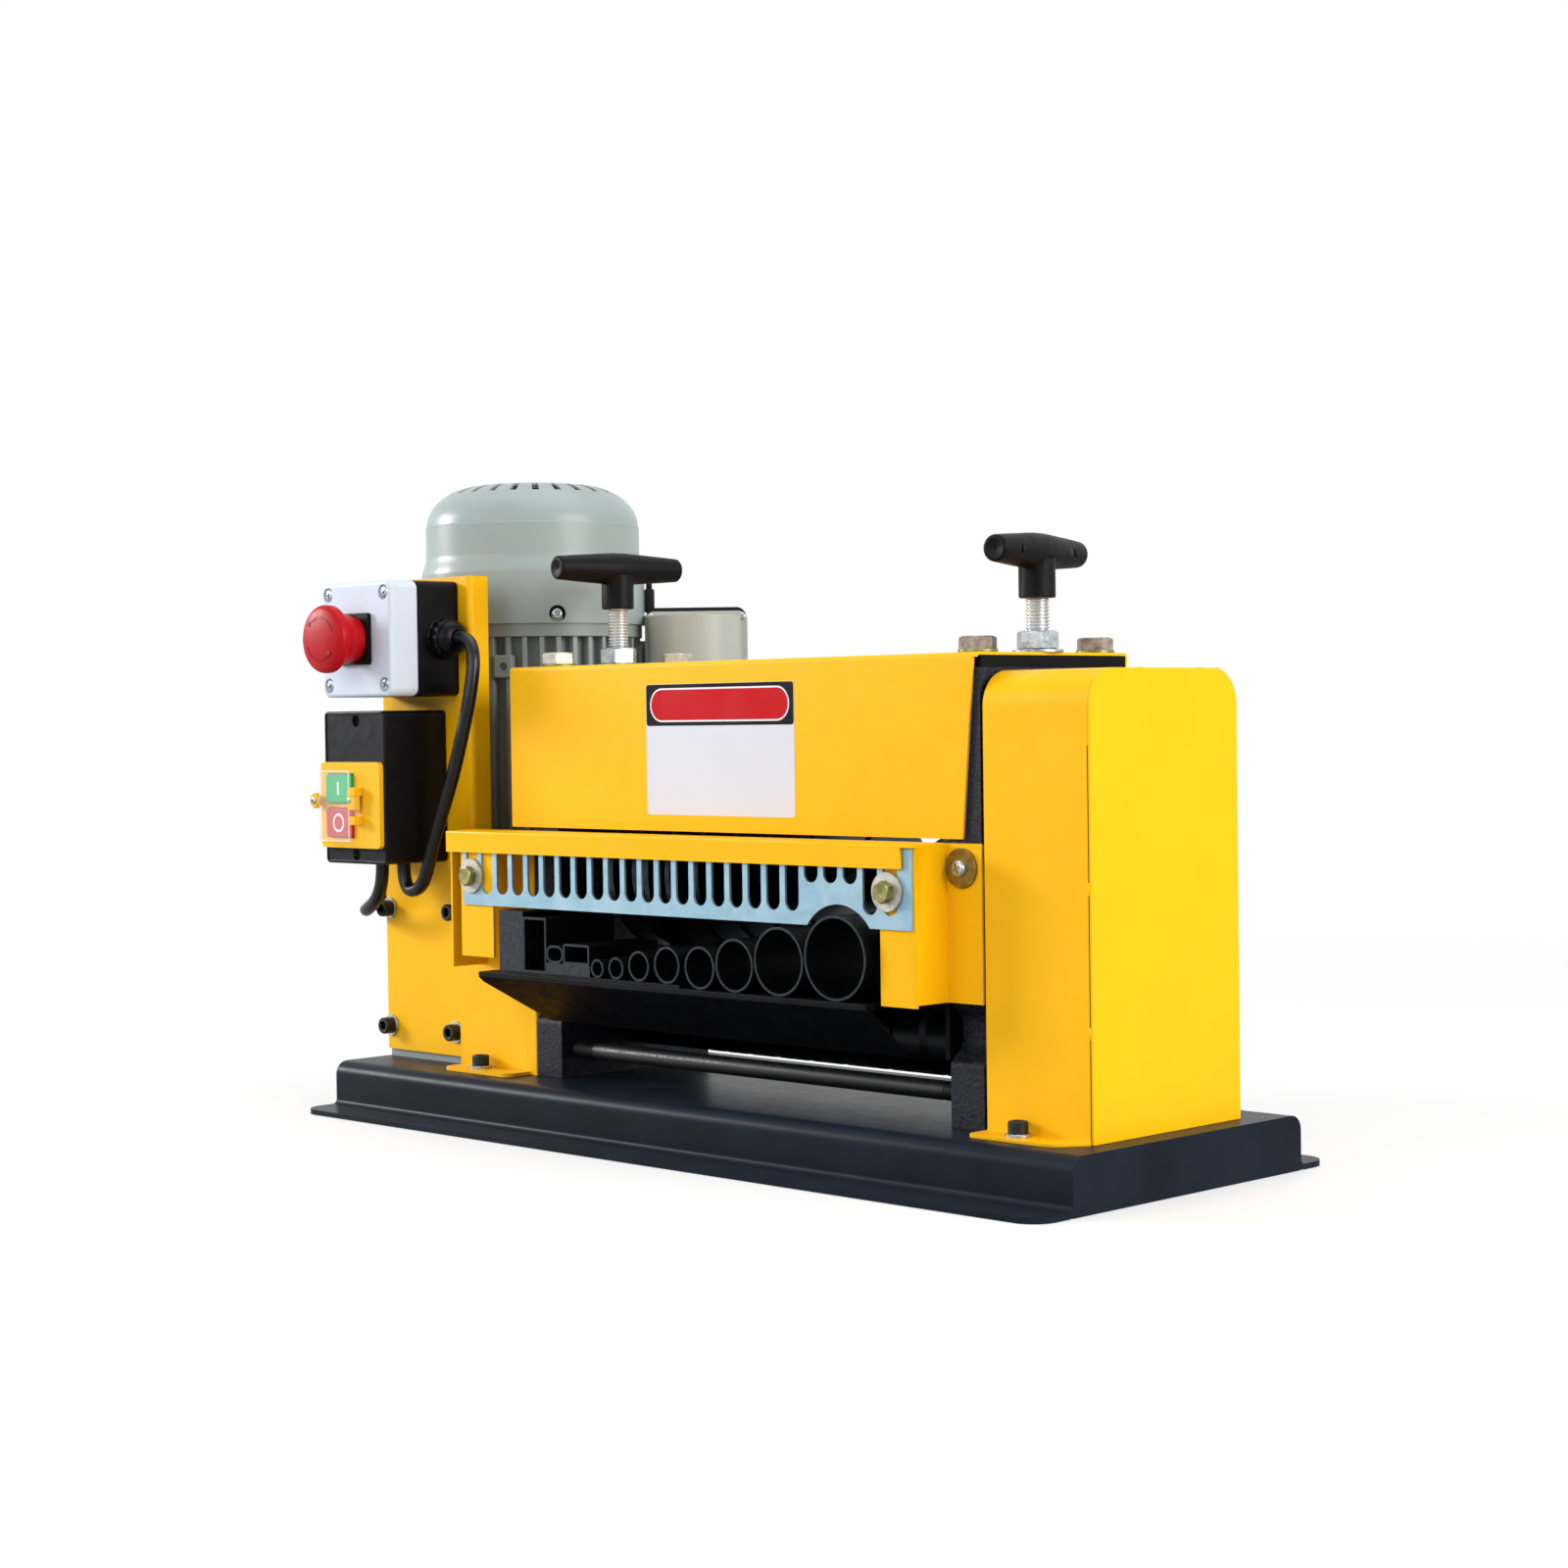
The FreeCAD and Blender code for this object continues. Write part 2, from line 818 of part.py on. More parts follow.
def make_top_cover():
    low = cover_low
    inside = cover_bend - cover_sheet
    profile = [
        (cover_front, low), (cover_front, cover_over, cover_bend),
        (cover_rear, cover_over, cover_bend), (cover_rear, cover_over - cover_rear_drop),
        (cover_rear - cover_sheet, cover_over - cover_rear_drop),
        (cover_rear - cover_sheet, plate_over, inside),
        (cover_front + cover_sheet, plate_over, inside), (cover_front + cover_sheet, low),
    ]
    cover = prism(profile, "x", cover_left, cover_right)
    top_x = cover_right - cover_front_inset
    slant = [
        (top_x - cover_slant, low - past), (cover_right + past, low - past),
        (cover_right + past, plate_over - past), (top_x, plate_over - past),
    ]
    cover = cover.cut(prism(slant, "y", cover_front - past, cover_front + 2 * cover_sheet))
    for x in (left_x, right_x):
        cover = cover.cut(rod(stud_radius + 2 * slide_gap, "z", x, 0, plate_over - past, cover_over + past))
    for x, y in top_bolts_at:
        cover = cover.cut(rod(m10_radius, "z", x, y, plate_over - past, cover_over + past))
    return cover


def make_top_bolts():
    bolts = []
    for x, y in top_bolts_at:
        length = cover_over - frame_top + m10_depth - spare_depth
        bolts.append(hex_bolt("z", x, y, cover_over, 1, length, m10_radius, m10_across, m10_head,
                              m10_washer_radius))
    return bolts


def make_adjusting_nuts():
    nuts = []
    bore = stud_radius + running_gap
    for x in (left_x, right_x):
        washer = turned(
            [
                (bore, cover_over), (m12_washer_radius, cover_over),
                (m12_washer_radius, cover_over + washer_thickness), (bore, cover_over + washer_thickness),
            ],
            "z", x, 0,
        )
        low = cover_over + washer_thickness
        nut = hexagon(m12_nut_across, "z", x, 0, low, low + m12_nut_height)
        nuts.append(washer)
        nuts.append(nut.cut(rod(bore, "z", x, 0, low - past, low + m12_nut_height + past)))
    return nuts


def make_base_bolts():
    bolts = []
    under = base_height - base_sheet
    for x, y in base_bolts_at:
        bolts.append(hex_bolt("z", x, y, under, -1, base_sheet + m10_depth - spare_depth, m10_radius,
                              m10_across, m10_head, m10_washer_radius))
    for x, y in reducer_bolts_at:
        bolts.append(hex_bolt("z", x, y, under, -1, base_sheet + reducer_floor, m10_radius, m10_across,
                              m10_head, m10_washer_radius))
    return bolts


# Guard hood
def make_guard_hood():
    under = hood_top - hood_sheet
    back = -frame_half
    top = block(hood_left, hood_right, hood_front, back, under, hood_top)
    lip = block(hood_left, hood_right - hood_notch_width, hood_front, hood_front + hood_sheet,
                hood_top - hood_lip, hood_top)
    side_low = hood_top - hood_side_drop
    left_side = block(hood_left, hood_left + hood_sheet, leg_front, back, side_low, hood_top)
    right_side = block(hood_right - hood_sheet, hood_right, leg_front, back, side_low, hood_top)
    left_flange = block(hood_left - hood_flange, hood_left + hood_sheet, back - hood_sheet, back,
                        side_low, hood_top)
    right_flange = block(hood_right - hood_sheet, hood_right + hood_flange, back - hood_sheet, back,
                         side_low, hood_top)
    left_leg = block(hood_left + left_leg_inset, hood_left + left_leg_inset + left_leg_width,
                     leg_front, leg_front + hood_sheet, hood_top - left_leg_drop, under)
    right_leg = block(hood_right - right_leg_width, hood_right, leg_front, leg_front + hood_sheet,
                      hood_top - right_leg_drop, under)
    hood = joined(top, lip, left_side, right_side, left_flange, right_flange, left_leg, right_leg)
    for x, z in ((left_bolt_x, left_bolt_z), (right_bolt_x, right_bolt_z)):
        hood = hood.cut(screw_hole("y", x, z, leg_front - past, leg_front + hood_sheet + past))
    for x in (left_flange_x, right_flange_x):
        hood = hood.cut(screw_hole("y", x, flange_screw_z, back - hood_sheet - past, back + past))
    return hood


# Guide channels: each stands on the tray, side by side
tall_left = left_inner + channel_end_gap
oval_left = tall_left + tall_channel[0] + channel_gap
flat_left = oval_left + oval_channel[0] + channel_gap
flat_right = flat_left + flat_channel[0]
channel_step = channel_floor + channel_support


def round_guides():
    guides = []
    x = flat_right + first_guide_gap + small_guides[0] / 2
    previous = None
    for index, size in enumerate(small_guides + medium_guides + large_guides):
        if previous is not None:
            gap = small_guide_gap if index < wide_gap_count + 1 else large_guide_gap
            x = x + previous / 2 + gap + size / 2
        floor = channel_floor if index < wide_gap_count else tray_top
        guides.append((x, floor + size / 2, size / 2))
        previous = size
    return guides


guides = round_guides()
large_x, large_z, large_half = guides[-1]


def slot(index):
    x = slot_first + slot_pitch * index
    low = hood_top - comb_top_gap - hood_sheet - comb_height + slot_foot
    if index in short_slots:
        low = low + short_slot_rise
    high = hood_top - comb_top_gap - hood_sheet - slot_top
    half = slot_width / 2
    corners = [(x - half, low, half), (x + half, low, half), (x + half, high, half), (x - half, high, half)]
    return prism(corners, "y", comb_front - past, comb_rear + past)


def make_comb_plate():
    high = hood_top - hood_sheet - comb_top_gap
    plate = block(comb_left, comb_right, comb_front, comb_rear, high - comb_height, high)
    for x, z, half in guides:
        plate = plate.cut(rod(half + guide_comb_gap, "y", x, z, comb_front - past, comb_rear + past))
    plate = plate.cut(rod(large_half + arch_gap, "y", large_x, large_z, comb_front - past, comb_rear + past))
    for index in range(slot_count):
        plate = plate.cut(slot(index))
    return plate


def make_guard_screws():
    screws = []
    for x, z in ((left_bolt_x, left_bolt_z), (right_bolt_x, right_bolt_z)):
        screws.append(hex_bolt("y", x, z, comb_front, -1, comb_sheet + comb_screw_reach, m6_radius,
                               m6_across, m6_head, m6_washer_radius))
    seat = -frame_half - hood_sheet
    screws.append(cap_screw("y", right_flange_x, flange_screw_z, seat, -1,
                            hood_sheet + m6_length - spare_depth, m6_washer_radius))
    screws.append(cap_screw("y", left_flange_x, flange_screw_z, seat, -1, hood_sheet + plate_sheet,
                            m6_washer_radius))
    return screws


def tube(x, z, half):
    bore = half - guide_wall
    return turned(
        [(bore, guide_front), (half, guide_front), (half, guide_rear), (bore, guide_rear)],
        "y", x, z,
    )


def channel(x0, z0, size, corner):
    # a square-cornered or round-cornered tube, from its lower left corner
    wide, high = size
    outer = [
        (x0, z0, corner), (x0 + wide, z0, corner),
        (x0 + wide, z0 + high, corner), (x0, z0 + high, corner),
    ]
    wall = guide_wall
    hole = max(corner - wall, 0)
    inner = [
        (x0 + wall, z0 + wall, hole), (x0 + wide - wall, z0 + wall, hole),
        (x0 + wide - wall, z0 + high - wall, hole), (x0 + wall, z0 + high - wall, hole),
    ]
    shape = prism(outer, "y", guide_front, guide_rear)
    return shape.cut(prism(inner, "y", guide_front - past, guide_rear + past))


def make_flat_channels():
    low = channel_floor
    support = block(oval_left, flat_right + support_margin, guide_front, guide_rear, low, channel_step)
    return [
        channel(tall_left, low, tall_channel, 0),
        channel(oval_left, channel_step, oval_channel, oval_corner),
        channel(flat_left, channel_step, flat_channel, flat_corner),
        support,
        block(tall_left - end_block_width, tall_left, guide_front, -frame_half, low,
              low + end_block_height),
    ]


def make_guide_tray():
    # a folded sheet: shelf, front lip, and a sloping front that runs back under the shelf
    lip_front = guide_front - tray_front_reach
    back = -frame_half
    under = tray_top - tray_sheet
    fold_z = under - tray_fold_drop
    left = left_inner + tray_side_gap
    right = right_inner - tray_side_gap
    shelf = block(left, right, back, guide_rear, under, tray_top)
    front = block(tray_front_left, tray_front_right, lip_front, back, under, tray_top)
    slope = [
        (lip_front, under), (lip_front + tray_slope_top, under),
        (tray_slope_foot - tray_fold_rear, fold_z), (-tray_fold_rear, fold_z),
    ]
    sheet = prism(slope, "x", tray_front_left, tray_fold_right)
    ends = [
        (tray_front_left, under), (tray_front_right, under),
        (tray_fold_right, fold_z - past), (tray_fold_left, fold_z - past),
        (tray_front_left, under - tray_sheet),
    ]
    sheet = sheet.common(prism(ends, "y", lip_front - past, 0))
    packing_right = guides[wide_gap_count - 1][0] + guides[wide_gap_count - 1][2]
    packing = block(tall_left - end_block_width, packing_right, guide_front, back, tray_top, channel_floor)
    packing_inside = block(tall_left, packing_right, back, guide_rear, tray_top, channel_floor)
    left_brace = block(left, left + tray_sheet, back, guide_rear, fold_z, under)
    right_brace = block(right - tray_sheet, right, back, guide_rear, fold_z, under)
    return joined(shelf, front, sheet, packing, packing_inside, left_brace, right_brace)


# Spur gears with involute flanks
def gear(teeth, z, turn):
    pitch = gear_module * teeth / 2
    base = pitch * math.cos(math.radians(pressure_angle))
    tip = pitch + gear_module * gear_addendum
    root = pitch - gear_module * gear_dedendum
    half_pitch = (math.pi * gear_module - gear_backlash) / (4 * pitch)

    def involute(radius):
        ratio = radius / base
        return math.sqrt(ratio * ratio - 1) - math.acos(1 / ratio)

    def flank(radius):
        if radius <= base:
            return half_pitch + involute(pitch)
        return half_pitch + involute(pitch) - involute(radius)

    corners = []
    for tooth in range(teeth):
        middle = math.radians(turn + 360 * tooth / teeth)
        steps = [(root, -1), (pitch, -1), (tip, -1), (tip, 1), (pitch, 1), (root, 1)]
        for radius, side in steps:
            angle = middle + side * flank(radius)
            corners.append((radius * math.sin(angle), z + radius * math.cos(angle)))
    left = right_outer + gear_side_gap
    blank = prism(corners, "x", left, left + gear_width)
    hub = rod(hub_radius, "x", 0, z, left + gear_width, left + gear_width + hub_width)
    blank = joined(blank, hub)
    return blank.cut(rod(journal_radius, "x", 0, z, left - past, left + gear_width + hub_width + past))


shaft_right = right_outer + gear_side_gap + gear_width + hub_width + shaft_stub


def make_feed_shaft():
    left = drive_x - reducer_width / 2 + reducer_wall + shaft_end_gap
    low = left_inner + shoulder_gap
    high = right_inner - shoulder_gap
    return turned(
        [
            (0, left), (journal_radius, left), (journal_radius, low), (shaft_radius, low),
            (shaft_radius, high), (journal_radius, high), (journal_radius, shaft_right), (0, shaft_right),
        ],
        "x", 0, feed_z,
    )


def channel_places():
    # middle, width and top of the hole of each guide channel, from left to right
    step = channel_step
    places = [
        (tall_left + tall_channel[0] / 2, tall_channel[0], channel_floor + tall_channel[1] - guide_wall),
        (oval_left + oval_channel[0] / 2, oval_channel[0], step + oval_channel[1] - guide_wall),
        (flat_left + flat_channel[0] / 2, flat_channel[0], step + flat_channel[1] - guide_wall),
    ]
    for x, z, half in guides:
        places.append((x, half * 2, z + half - guide_wall))
    return places


def make_feed_rollers():
    rollers = []
    places = channel_places()
    edges = [left_inner + shoulder_gap + roller_end_gap]
    for index in range(len(places) - 1):
        right_side = places[index][0] + places[index][1] / 2
        left_side = places[index + 1][0] - places[index + 1][1] / 2
        edges.append((right_side + left_side) / 2)
    edges.append(right_inner - shoulder_gap - roller_end_gap)
    for index, (x, width, top) in enumerate(places):
        low = edges[index] + roller_spacing / 2
        high = edges[index + 1] - roller_spacing / 2
        profile = [(shaft_radius, low), (roller_radius, low)]
        if index > 2:
            profile += [
                (roller_radius, x - groove_depth), (roller_radius - groove_depth, x),
                (roller_radius, x + groove_depth),
            ]
        profile += [(roller_radius, high), (shaft_radius, high)]
        rollers.append(turned(profile, "x", 0, feed_z))
    return rollers


def make_cutter_shaft():
    left = left_outer
    low = left_inner + slide_gap + block_lip_thickness + shoulder_gap
    high = right_inner - slide_gap - block_lip_thickness - shoulder_gap
    return turned(
        [
            (0, left), (journal_radius, left), (journal_radius, low), (shaft_radius, low),
            (shaft_radius, high), (journal_radius, high), (journal_radius, shaft_right), (0, shaft_right),
        ],
        "x", 0, cutter_z,
    )


def make_blades_and_spacers():
    blades = []
    spacers = []
    edge = left_inner + slide_gap + block_lip_thickness + shoulder_gap
    last = right_inner - slide_gap - block_lip_thickness - shoulder_gap
    half = blade_thickness / 2
    for x, width, top in channel_places():
        bite = large_blade_bite if width > guides[-3][2] * 2 - 1 else blade_bite
        radius = cutter_z - top + bite
        blades.append(turned(
            [
                (shaft_radius, x - half), (radius - blade_bevel, x - half), (radius, x),
                (radius - blade_bevel, x + half), (shaft_radius, x + half),
            ],
            "x", 0, cutter_z,
        ))
        spacers.append(spacer(edge, x - half))
        edge = x + half
    spacers.append(spacer(edge, last))
    return blades, spacers


def spacer(low, high):
    return turned(
        [(shaft_radius, low), (spacer_radius, low), (spacer_radius, high), (shaft_radius, high)],
        "x", 0, cutter_z,
    )


# Worm reducer: the wheel turns the feed shaft, the worm hangs from the motor
wheel_radius = worm_distance - worm_radius - wheel_mesh_gap
worm_low = feed_z - worm_length / 2
worm_high = feed_z + worm_length / 2
shaft_bore = motor_shaft_radius + running_gap


def make_reducer_housing():
    left = drive_x - reducer_width / 2
    right = drive_x + reducer_width / 2
    shape = [
        (-plate_front + plate_sheet, base_top), (reducer_rear, base_top, reducer_corner),
        (reducer_rear, reducer_top), (-plate_front + plate_sheet, reducer_top),
    ]
    housing = prism(shape, "x", left, right)
    cap = rod(reducer_cap_radius, "x", 0, feed_z, left - reducer_cap, left)
    boss = rod(reducer_boss_radius, "x", 0, feed_z, right, right + reducer_boss)
    housing = joined(housing, cap, boss)
    room = wheel_room_gap
    wheel_half = wheel_width / 2 + room
    housing = housing.cut(rod(wheel_radius + room, "x", 0, feed_z, drive_x - wheel_half, drive_x + wheel_half))
    housing = housing.cut(rod(worm_radius + room, "z", drive_x, worm_distance,
                              worm_low - room, worm_high + room))
    housing = housing.cut(rod(shaft_bore, "z", drive_x, worm_distance,
                              base_top + reducer_floor, reducer_top + past))
    bore = journal_radius + running_gap
    housing = housing.cut(rod(bore, "x", 0, feed_z, left + reducer_wall, right + reducer_boss + past))
    for x, z in plate_screws:
        housing = housing.cut(screw_hole("y", x, z, -plate_front, -plate_front + m6_length + plate_sheet))
    for x, y in reducer_bolts_at:
        housing = housing.cut(rod(m10_radius, "z", x, y, base_top - past, base_top + reducer_floor))
    return housing


def make_worm_wheel():
    half = wheel_width / 2
    return turned(
        [
            (journal_radius, drive_x - half), (wheel_radius, drive_x - half),
            (wheel_radius, drive_x + half), (journal_radius, drive_x + half),
        ],
        "x", 0, feed_z,
    )


def make_worm():
    low = base_top + reducer_floor + shaft_end_gap
    return turned(
        [
            (0, low), (motor_shaft_radius, low), (motor_shaft_radius, worm_low), (worm_radius, worm_low),
            (worm_radius, worm_high), (motor_shaft_radius, worm_high), (motor_shaft_radius, reducer_top),
            (0, reducer_top),
        ],
        "z", drive_x, worm_distance,
    )


rotor_low = motor_low + rotor_margin
rotor_high = motor_low + motor_body_height - rotor_margin * 2
fan_low = motor_high + fan_gap
fan_high = fan_low + fan_height


def make_motor_rotor():
    return turned(
        [
            (0, reducer_top), (motor_shaft_radius, reducer_top), (motor_shaft_radius, rotor_low),
            (rotor_radius, rotor_low), (rotor_radius, rotor_high), (motor_shaft_radius, rotor_high),
            (motor_shaft_radius, fan_high), (0, fan_high),
        ],
        "z", drive_x, worm_distance,
    )


def make_motor_fan():
    fan = rod(fan_hub_radius, "z", drive_x, worm_distance, fan_low, fan_high)
    half = fan_blade / 2
    for index in range(fan_blades):
        blade = block(fan_hub_radius - fan_blade_root, fan_radius, -half, half, fan_low, fan_high)
        blade.translate(vector(drive_x, worm_distance, 0))
        blade.rotate(vector(drive_x, worm_distance, 0), unit["z"], 360 * index / fan_blades)
        fan = fan.fuse(blade)
    fan = fan.removeSplitter()
    return fan.cut(rod(motor_shaft_radius, "z", drive_x, worm_distance, fan_low - past, fan_high + past))


def make_motor_flange():
    flange = rod(motor_flange_radius, "z", drive_x, worm_distance, reducer_top, motor_low)
    return flange.cut(rod(shaft_bore, "z", drive_x, worm_distance, reducer_top - past, motor_low + past))


def make_motor_body():
    # fins as one outline, then the end shield and the pad for the terminal box
    corners = []
    half_out = math.asin(fin_width / 2 / fin_radius)
    half_in = math.asin(fin_width / 2 / motor_core_radius)
    for index in range(fin_count):
        middle = 2 * math.pi * index / fin_count
        for radius, angle in (
            (motor_core_radius, middle - half_in), (fin_radius, middle - half_out),
            (fin_radius, middle + half_out), (motor_core_radius, middle + half_in),
        ):
            corners.append((drive_x + radius * math.cos(angle), worm_distance + radius * math.sin(angle)))
    fins_top = motor_low + motor_body_height
    body = prism(corners, "z", motor_low, fins_top)
    shield = rod(cowl_radius - cowl_wall, "z", drive_x, worm_distance, fins_top, motor_high)
    pad_front = pad_margin - box_offset
    pad = block(motor_core_radius - pad_root, box_near, pad_front, pad_front + pad_width,
                box_low + pad_margin, fins_top - pad_margin)
    pad.translate(vector(drive_x, worm_distance, 0))
    pad.rotate(vector(drive_x, worm_distance, 0), unit["z"], box_turn)
    body = joined(body, shield, pad)
    body = body.cut(rod(rotor_radius + rotor_air_gap, "z", drive_x, worm_distance,
                        rotor_low - stator_wall, rotor_high + stator_wall))
    return body.cut(rod(shaft_bore, "z", drive_x, worm_distance, motor_low - past, motor_high + past))


def make_motor_cowl():
    low = motor_high - cowl_overlap
    skirt = low + cowl_skirt
    neck = skirt + cowl_taper
    ridge = neck + cowl_straight
    top = ridge + cowl_dome
    slim = cowl_radius - cowl_step
    wall = cowl_wall
    outer = [(cowl_radius, low), (cowl_radius, skirt), (slim, neck), (slim, ridge)]
    for inward, rise in cowl_dome_steps:
        outer.append((slim - inward, ridge + rise))
    outer += [(cowl_top_radius + cowl_rim, top - cowl_rim_drop), (cowl_top_radius, top)]
    inner = [(0, top - wall), (cowl_top_radius, top - wall)]
    for radius, along in reversed(outer[:-2]):
        inner.append((radius - wall, along - (wall if along > ridge else 0)))
    cowl = turned([(0, top)] + list(reversed(outer)) + list(reversed(inner)), "z", drive_x, worm_distance)
    for index in range(vent_count):
        end = cowl_top_radius - vent_inset
        vent = block(end - vent_length, end, -vent_width / 2, vent_width / 2, top - 2 * wall, top + past)
        vent.translate(vector(drive_x, worm_distance, 0))
        vent.rotate(vector(drive_x, worm_distance, 0), unit["z"], 360 * (index + 0.5) / vent_count)
        cowl = cowl.cut(vent)
    return cowl


# Terminal box: built straight out from the motor towards +X, then turned


def turned_out(shape):
    shape.translate(vector(drive_x, worm_distance, 0))
    shape.rotate(vector(drive_x, worm_distance, 0), unit["z"], box_turn)
    return shape


def make_junction_box():
    back = box_depth - box_offset
    shell = block(box_near, box_near + box_width, -box_offset, back, box_low, box_low + box_height)
    room = block(box_near + box_wall, box_near + box_width - box_wall, -box_offset - past, back - box_wall,
                 box_low + box_wall, box_low + box_height - box_wall)
    return turned_out(shell.cut(room))


def make_junction_lid():
    low = box_low - lid_margin
    high = box_low + box_height + lid_margin
    front = -box_offset - lid_sheet
    sheet = prism(
        [
            (box_near, low, lid_corner), (lid_far, low, lid_corner),
            (lid_far, high, lid_corner), (box_near, high, lid_corner),
        ],
        "y", front, -box_offset,
    )
    left = box_near + dome_margin
    middle = left + dome_radius
    dome = rod(dome_radius, "z", middle, front, low + dome_inset, high - dome_inset)
    dome = dome.common(block(left - past, middle + dome_radius + past, front - dome_radius - past, front,
                             low, high))
    inset = dome_inset + box_wall
    room = rod(dome_radius - box_wall, "z", middle, front, low + inset, high - inset)
    room_right = min(middle + dome_radius, box_near + box_width) - box_wall
    room = room.common(block(left - past, room_right, front - dome_radius, past - box_offset, low, high))
    return turned_out(joined(sheet, dome).cut(room))


# Switch plate and front bracket
def make_switch_plate():
    front = -plate_front
    back = front + plate_sheet
    low = base_top + plate_foot_gap
    sheet = block(switch_plate_left, switch_plate_right, front, back, low, plate_top)
    flange = block(switch_plate_right - plate_sheet, switch_plate_right, front, front + plate_flange,
                   low, plate_top)
    plate = joined(sheet, flange)
    for x, z in plate_screws:
        plate = plate.cut(screw_hole("y", x, z, front - past, back + past))
    return plate


def make_front_bracket():
    front = -frame_half
    back = front + plate_sheet
    sheet = block(bracket_left, left_outer, front, back, base_top, bracket_top)
    side = block(left_outer - plate_sheet, left_outer, front, front + bracket_return, base_top, bracket_top)
    edge = block(bracket_left, bracket_left + plate_sheet, front, -plate_front, base_top, bracket_top)
    foot_left = bracket_left + bracket_foot_left
    foot_right = foot_left + bracket_foot_width
    foot = prism(
        [
            (foot_left, front - bracket_foot, bracket_foot_corner),
            (foot_right, front - bracket_foot, bracket_foot_corner),
            (foot_right, back), (foot_left, back),
        ],
        "z", base_top, base_top + plate_sheet,
    )
    bracket = joined(sheet, side, edge, foot)
    bracket = bracket.cut(screw_hole("z", foot_screw_x, foot_screw_y, base_top - past,
                                     base_top + plate_sheet + past))
    for z in bracket_screw_levels:
        bracket = bracket.cut(screw_hole("x", frame_screw_y, z, left_outer - plate_sheet - past,
                                         left_outer + past))
    return bracket.cut(screw_hole("y", left_flange_x, flange_screw_z, front - past, back + past))


def make_cap_screws():
    screws = []
    reach = plate_sheet + m6_length - spare_depth
    through = base_sheet + screw_end
    for x, z in plate_screws:
        screws.append(cap_screw("y", x, z, -plate_front, -1, reach))
    for z in bracket_screw_levels:
        screws.append(cap_screw("x", frame_screw_y, z, left_outer - plate_sheet, -1, reach))
    screws.append(cap_screw("z", foot_screw_x, foot_screw_y, base_top + plate_sheet, 1, plate_sheet + through))
    for y in (-gear_foot_y, gear_foot_y):
        screws.append(cap_screw("z", gear_foot_x, y, base_top + gear_sheet, 1, gear_sheet + through))
    return screws


# Emergency stop
stop_x = switch_plate_right + stop_box_x
stop_high = plate_top - stop_box_drop
stop_low = stop_high - stop_box_size
stop_z = (stop_high + stop_low) / 2
stop_back = -plate_front
stop_body_front = stop_back - stop_body_depth
stop_cover_front = stop_body_front - stop_cover_depth
stop_bezel_front = stop_cover_front - stop_bezel_depth
stop_neck_back = stop_bezel_front - stop_travel - slide_gap
stop_head_back = stop_neck_back - stop_neck_length
stop_face = stop_head_back - stop_head_length
gland_y = stop_back - gland_setback


def rounded_square(x0, x1, z0, z1, corner):
    return [(x0, z0, corner), (x1, z0, corner), (x1, z1, corner), (x0, z1, corner)]


def make_estop_box():
    half = stop_box_size / 2
    shell = prism(rounded_square(stop_x - half, stop_x + half, stop_low, stop_high, stop_corner), "y",
                  stop_body_front, stop_back)
    room = block(stop_x - half + stop_wall, stop_x + half - stop_wall, stop_body_front - past,
                 stop_back - stop_wall, stop_low + stop_wall, stop_high - stop_wall)
    contacts = block(stop_x - contact_half, stop_x + contact_half, stop_back - stop_wall - contact_depth,
                     stop_back - stop_wall, stop_z - contact_half, stop_z + contact_half)
    return joined(shell.cut(room), contacts)


def make_estop_cover():
    half = stop_box_size / 2
    shell = prism(rounded_square(stop_x - half, stop_x + half, stop_low, stop_high, stop_corner), "y",
                  stop_cover_front, stop_body_front)
    room = block(stop_x - half + stop_wall, stop_x + half - stop_wall, stop_cover_front + stop_wall,
                 stop_body_front + past, stop_low + stop_wall, stop_high - stop_wall)
    hole = rod(stop_stem_radius + slide_gap, "y", stop_x, stop_z, stop_cover_front - past, stop_body_front)
    return shell.cut(room).cut(hole)


def make_estop_bezel():
    half = stop_bezel_size / 2
    sides = rounded_square(stop_x - half, stop_x + half, stop_z - half, stop_z + half, stop_bezel_corner)
    plate = prism(sides, "y", stop_bezel_front, stop_cover_front)
    bore = stop_stem_radius + slide_gap
    return plate.cut(rod(bore, "y", stop_x, stop_z, stop_bezel_front - past, stop_cover_front))


def make_estop_stem():
    inner = stop_cover_front + stop_wall + stop_stem_reach
    return turned(
        [
            (0, stop_neck_back - spigot_length), (spigot_radius, stop_neck_back - spigot_length),
            (spigot_radius, stop_neck_back), (stop_stem_radius, stop_neck_back), (stop_stem_radius, inner),
            (0, inner),
        ],
        "y", stop_x, stop_z,
    )


def make_estop_button():
    bore = spigot_radius + running_gap
    deep = stop_neck_back - spigot_length - shaft_end_gap
    edge = stop_face + stop_head_dome
    round_in, round_back = stop_head_edge
    dome_in, dome_out = stop_dome_step
    return turned(
        [
            (bore, stop_neck_back), (stop_neck_radius, stop_neck_back), (stop_neck_radius, stop_head_back),
            (stop_head_radius - round_in, stop_head_back), (stop_head_radius, stop_head_back - round_back),
            (stop_head_radius, edge), (stop_head_radius - dome_in, edge - dome_out),
            (stop_head_radius - stop_face_inset, stop_face), (0, stop_face), (0, deep), (bore, deep),
        ],
        "y", stop_x, stop_z,
    )


def make_cable_gland():
    seat = stop_x + stop_box_size / 2
    nut = hexagon(gland_across, "x", gland_y, stop_z, seat, seat + gland_nut, gland_turn)
    chamfer_in, chamfer_back = gland_chamfer
    end = seat + gland_nut + gland_cap
    cap = turned(
        [
            (0, seat + gland_nut), (gland_cap_radius, seat + gland_nut),
            (gland_cap_radius, end - chamfer_back), (gland_cap_radius - chamfer_in, end), (0, end),
        ],
        "x", gland_y, stop_z,
    )
    return joined(nut, cap)


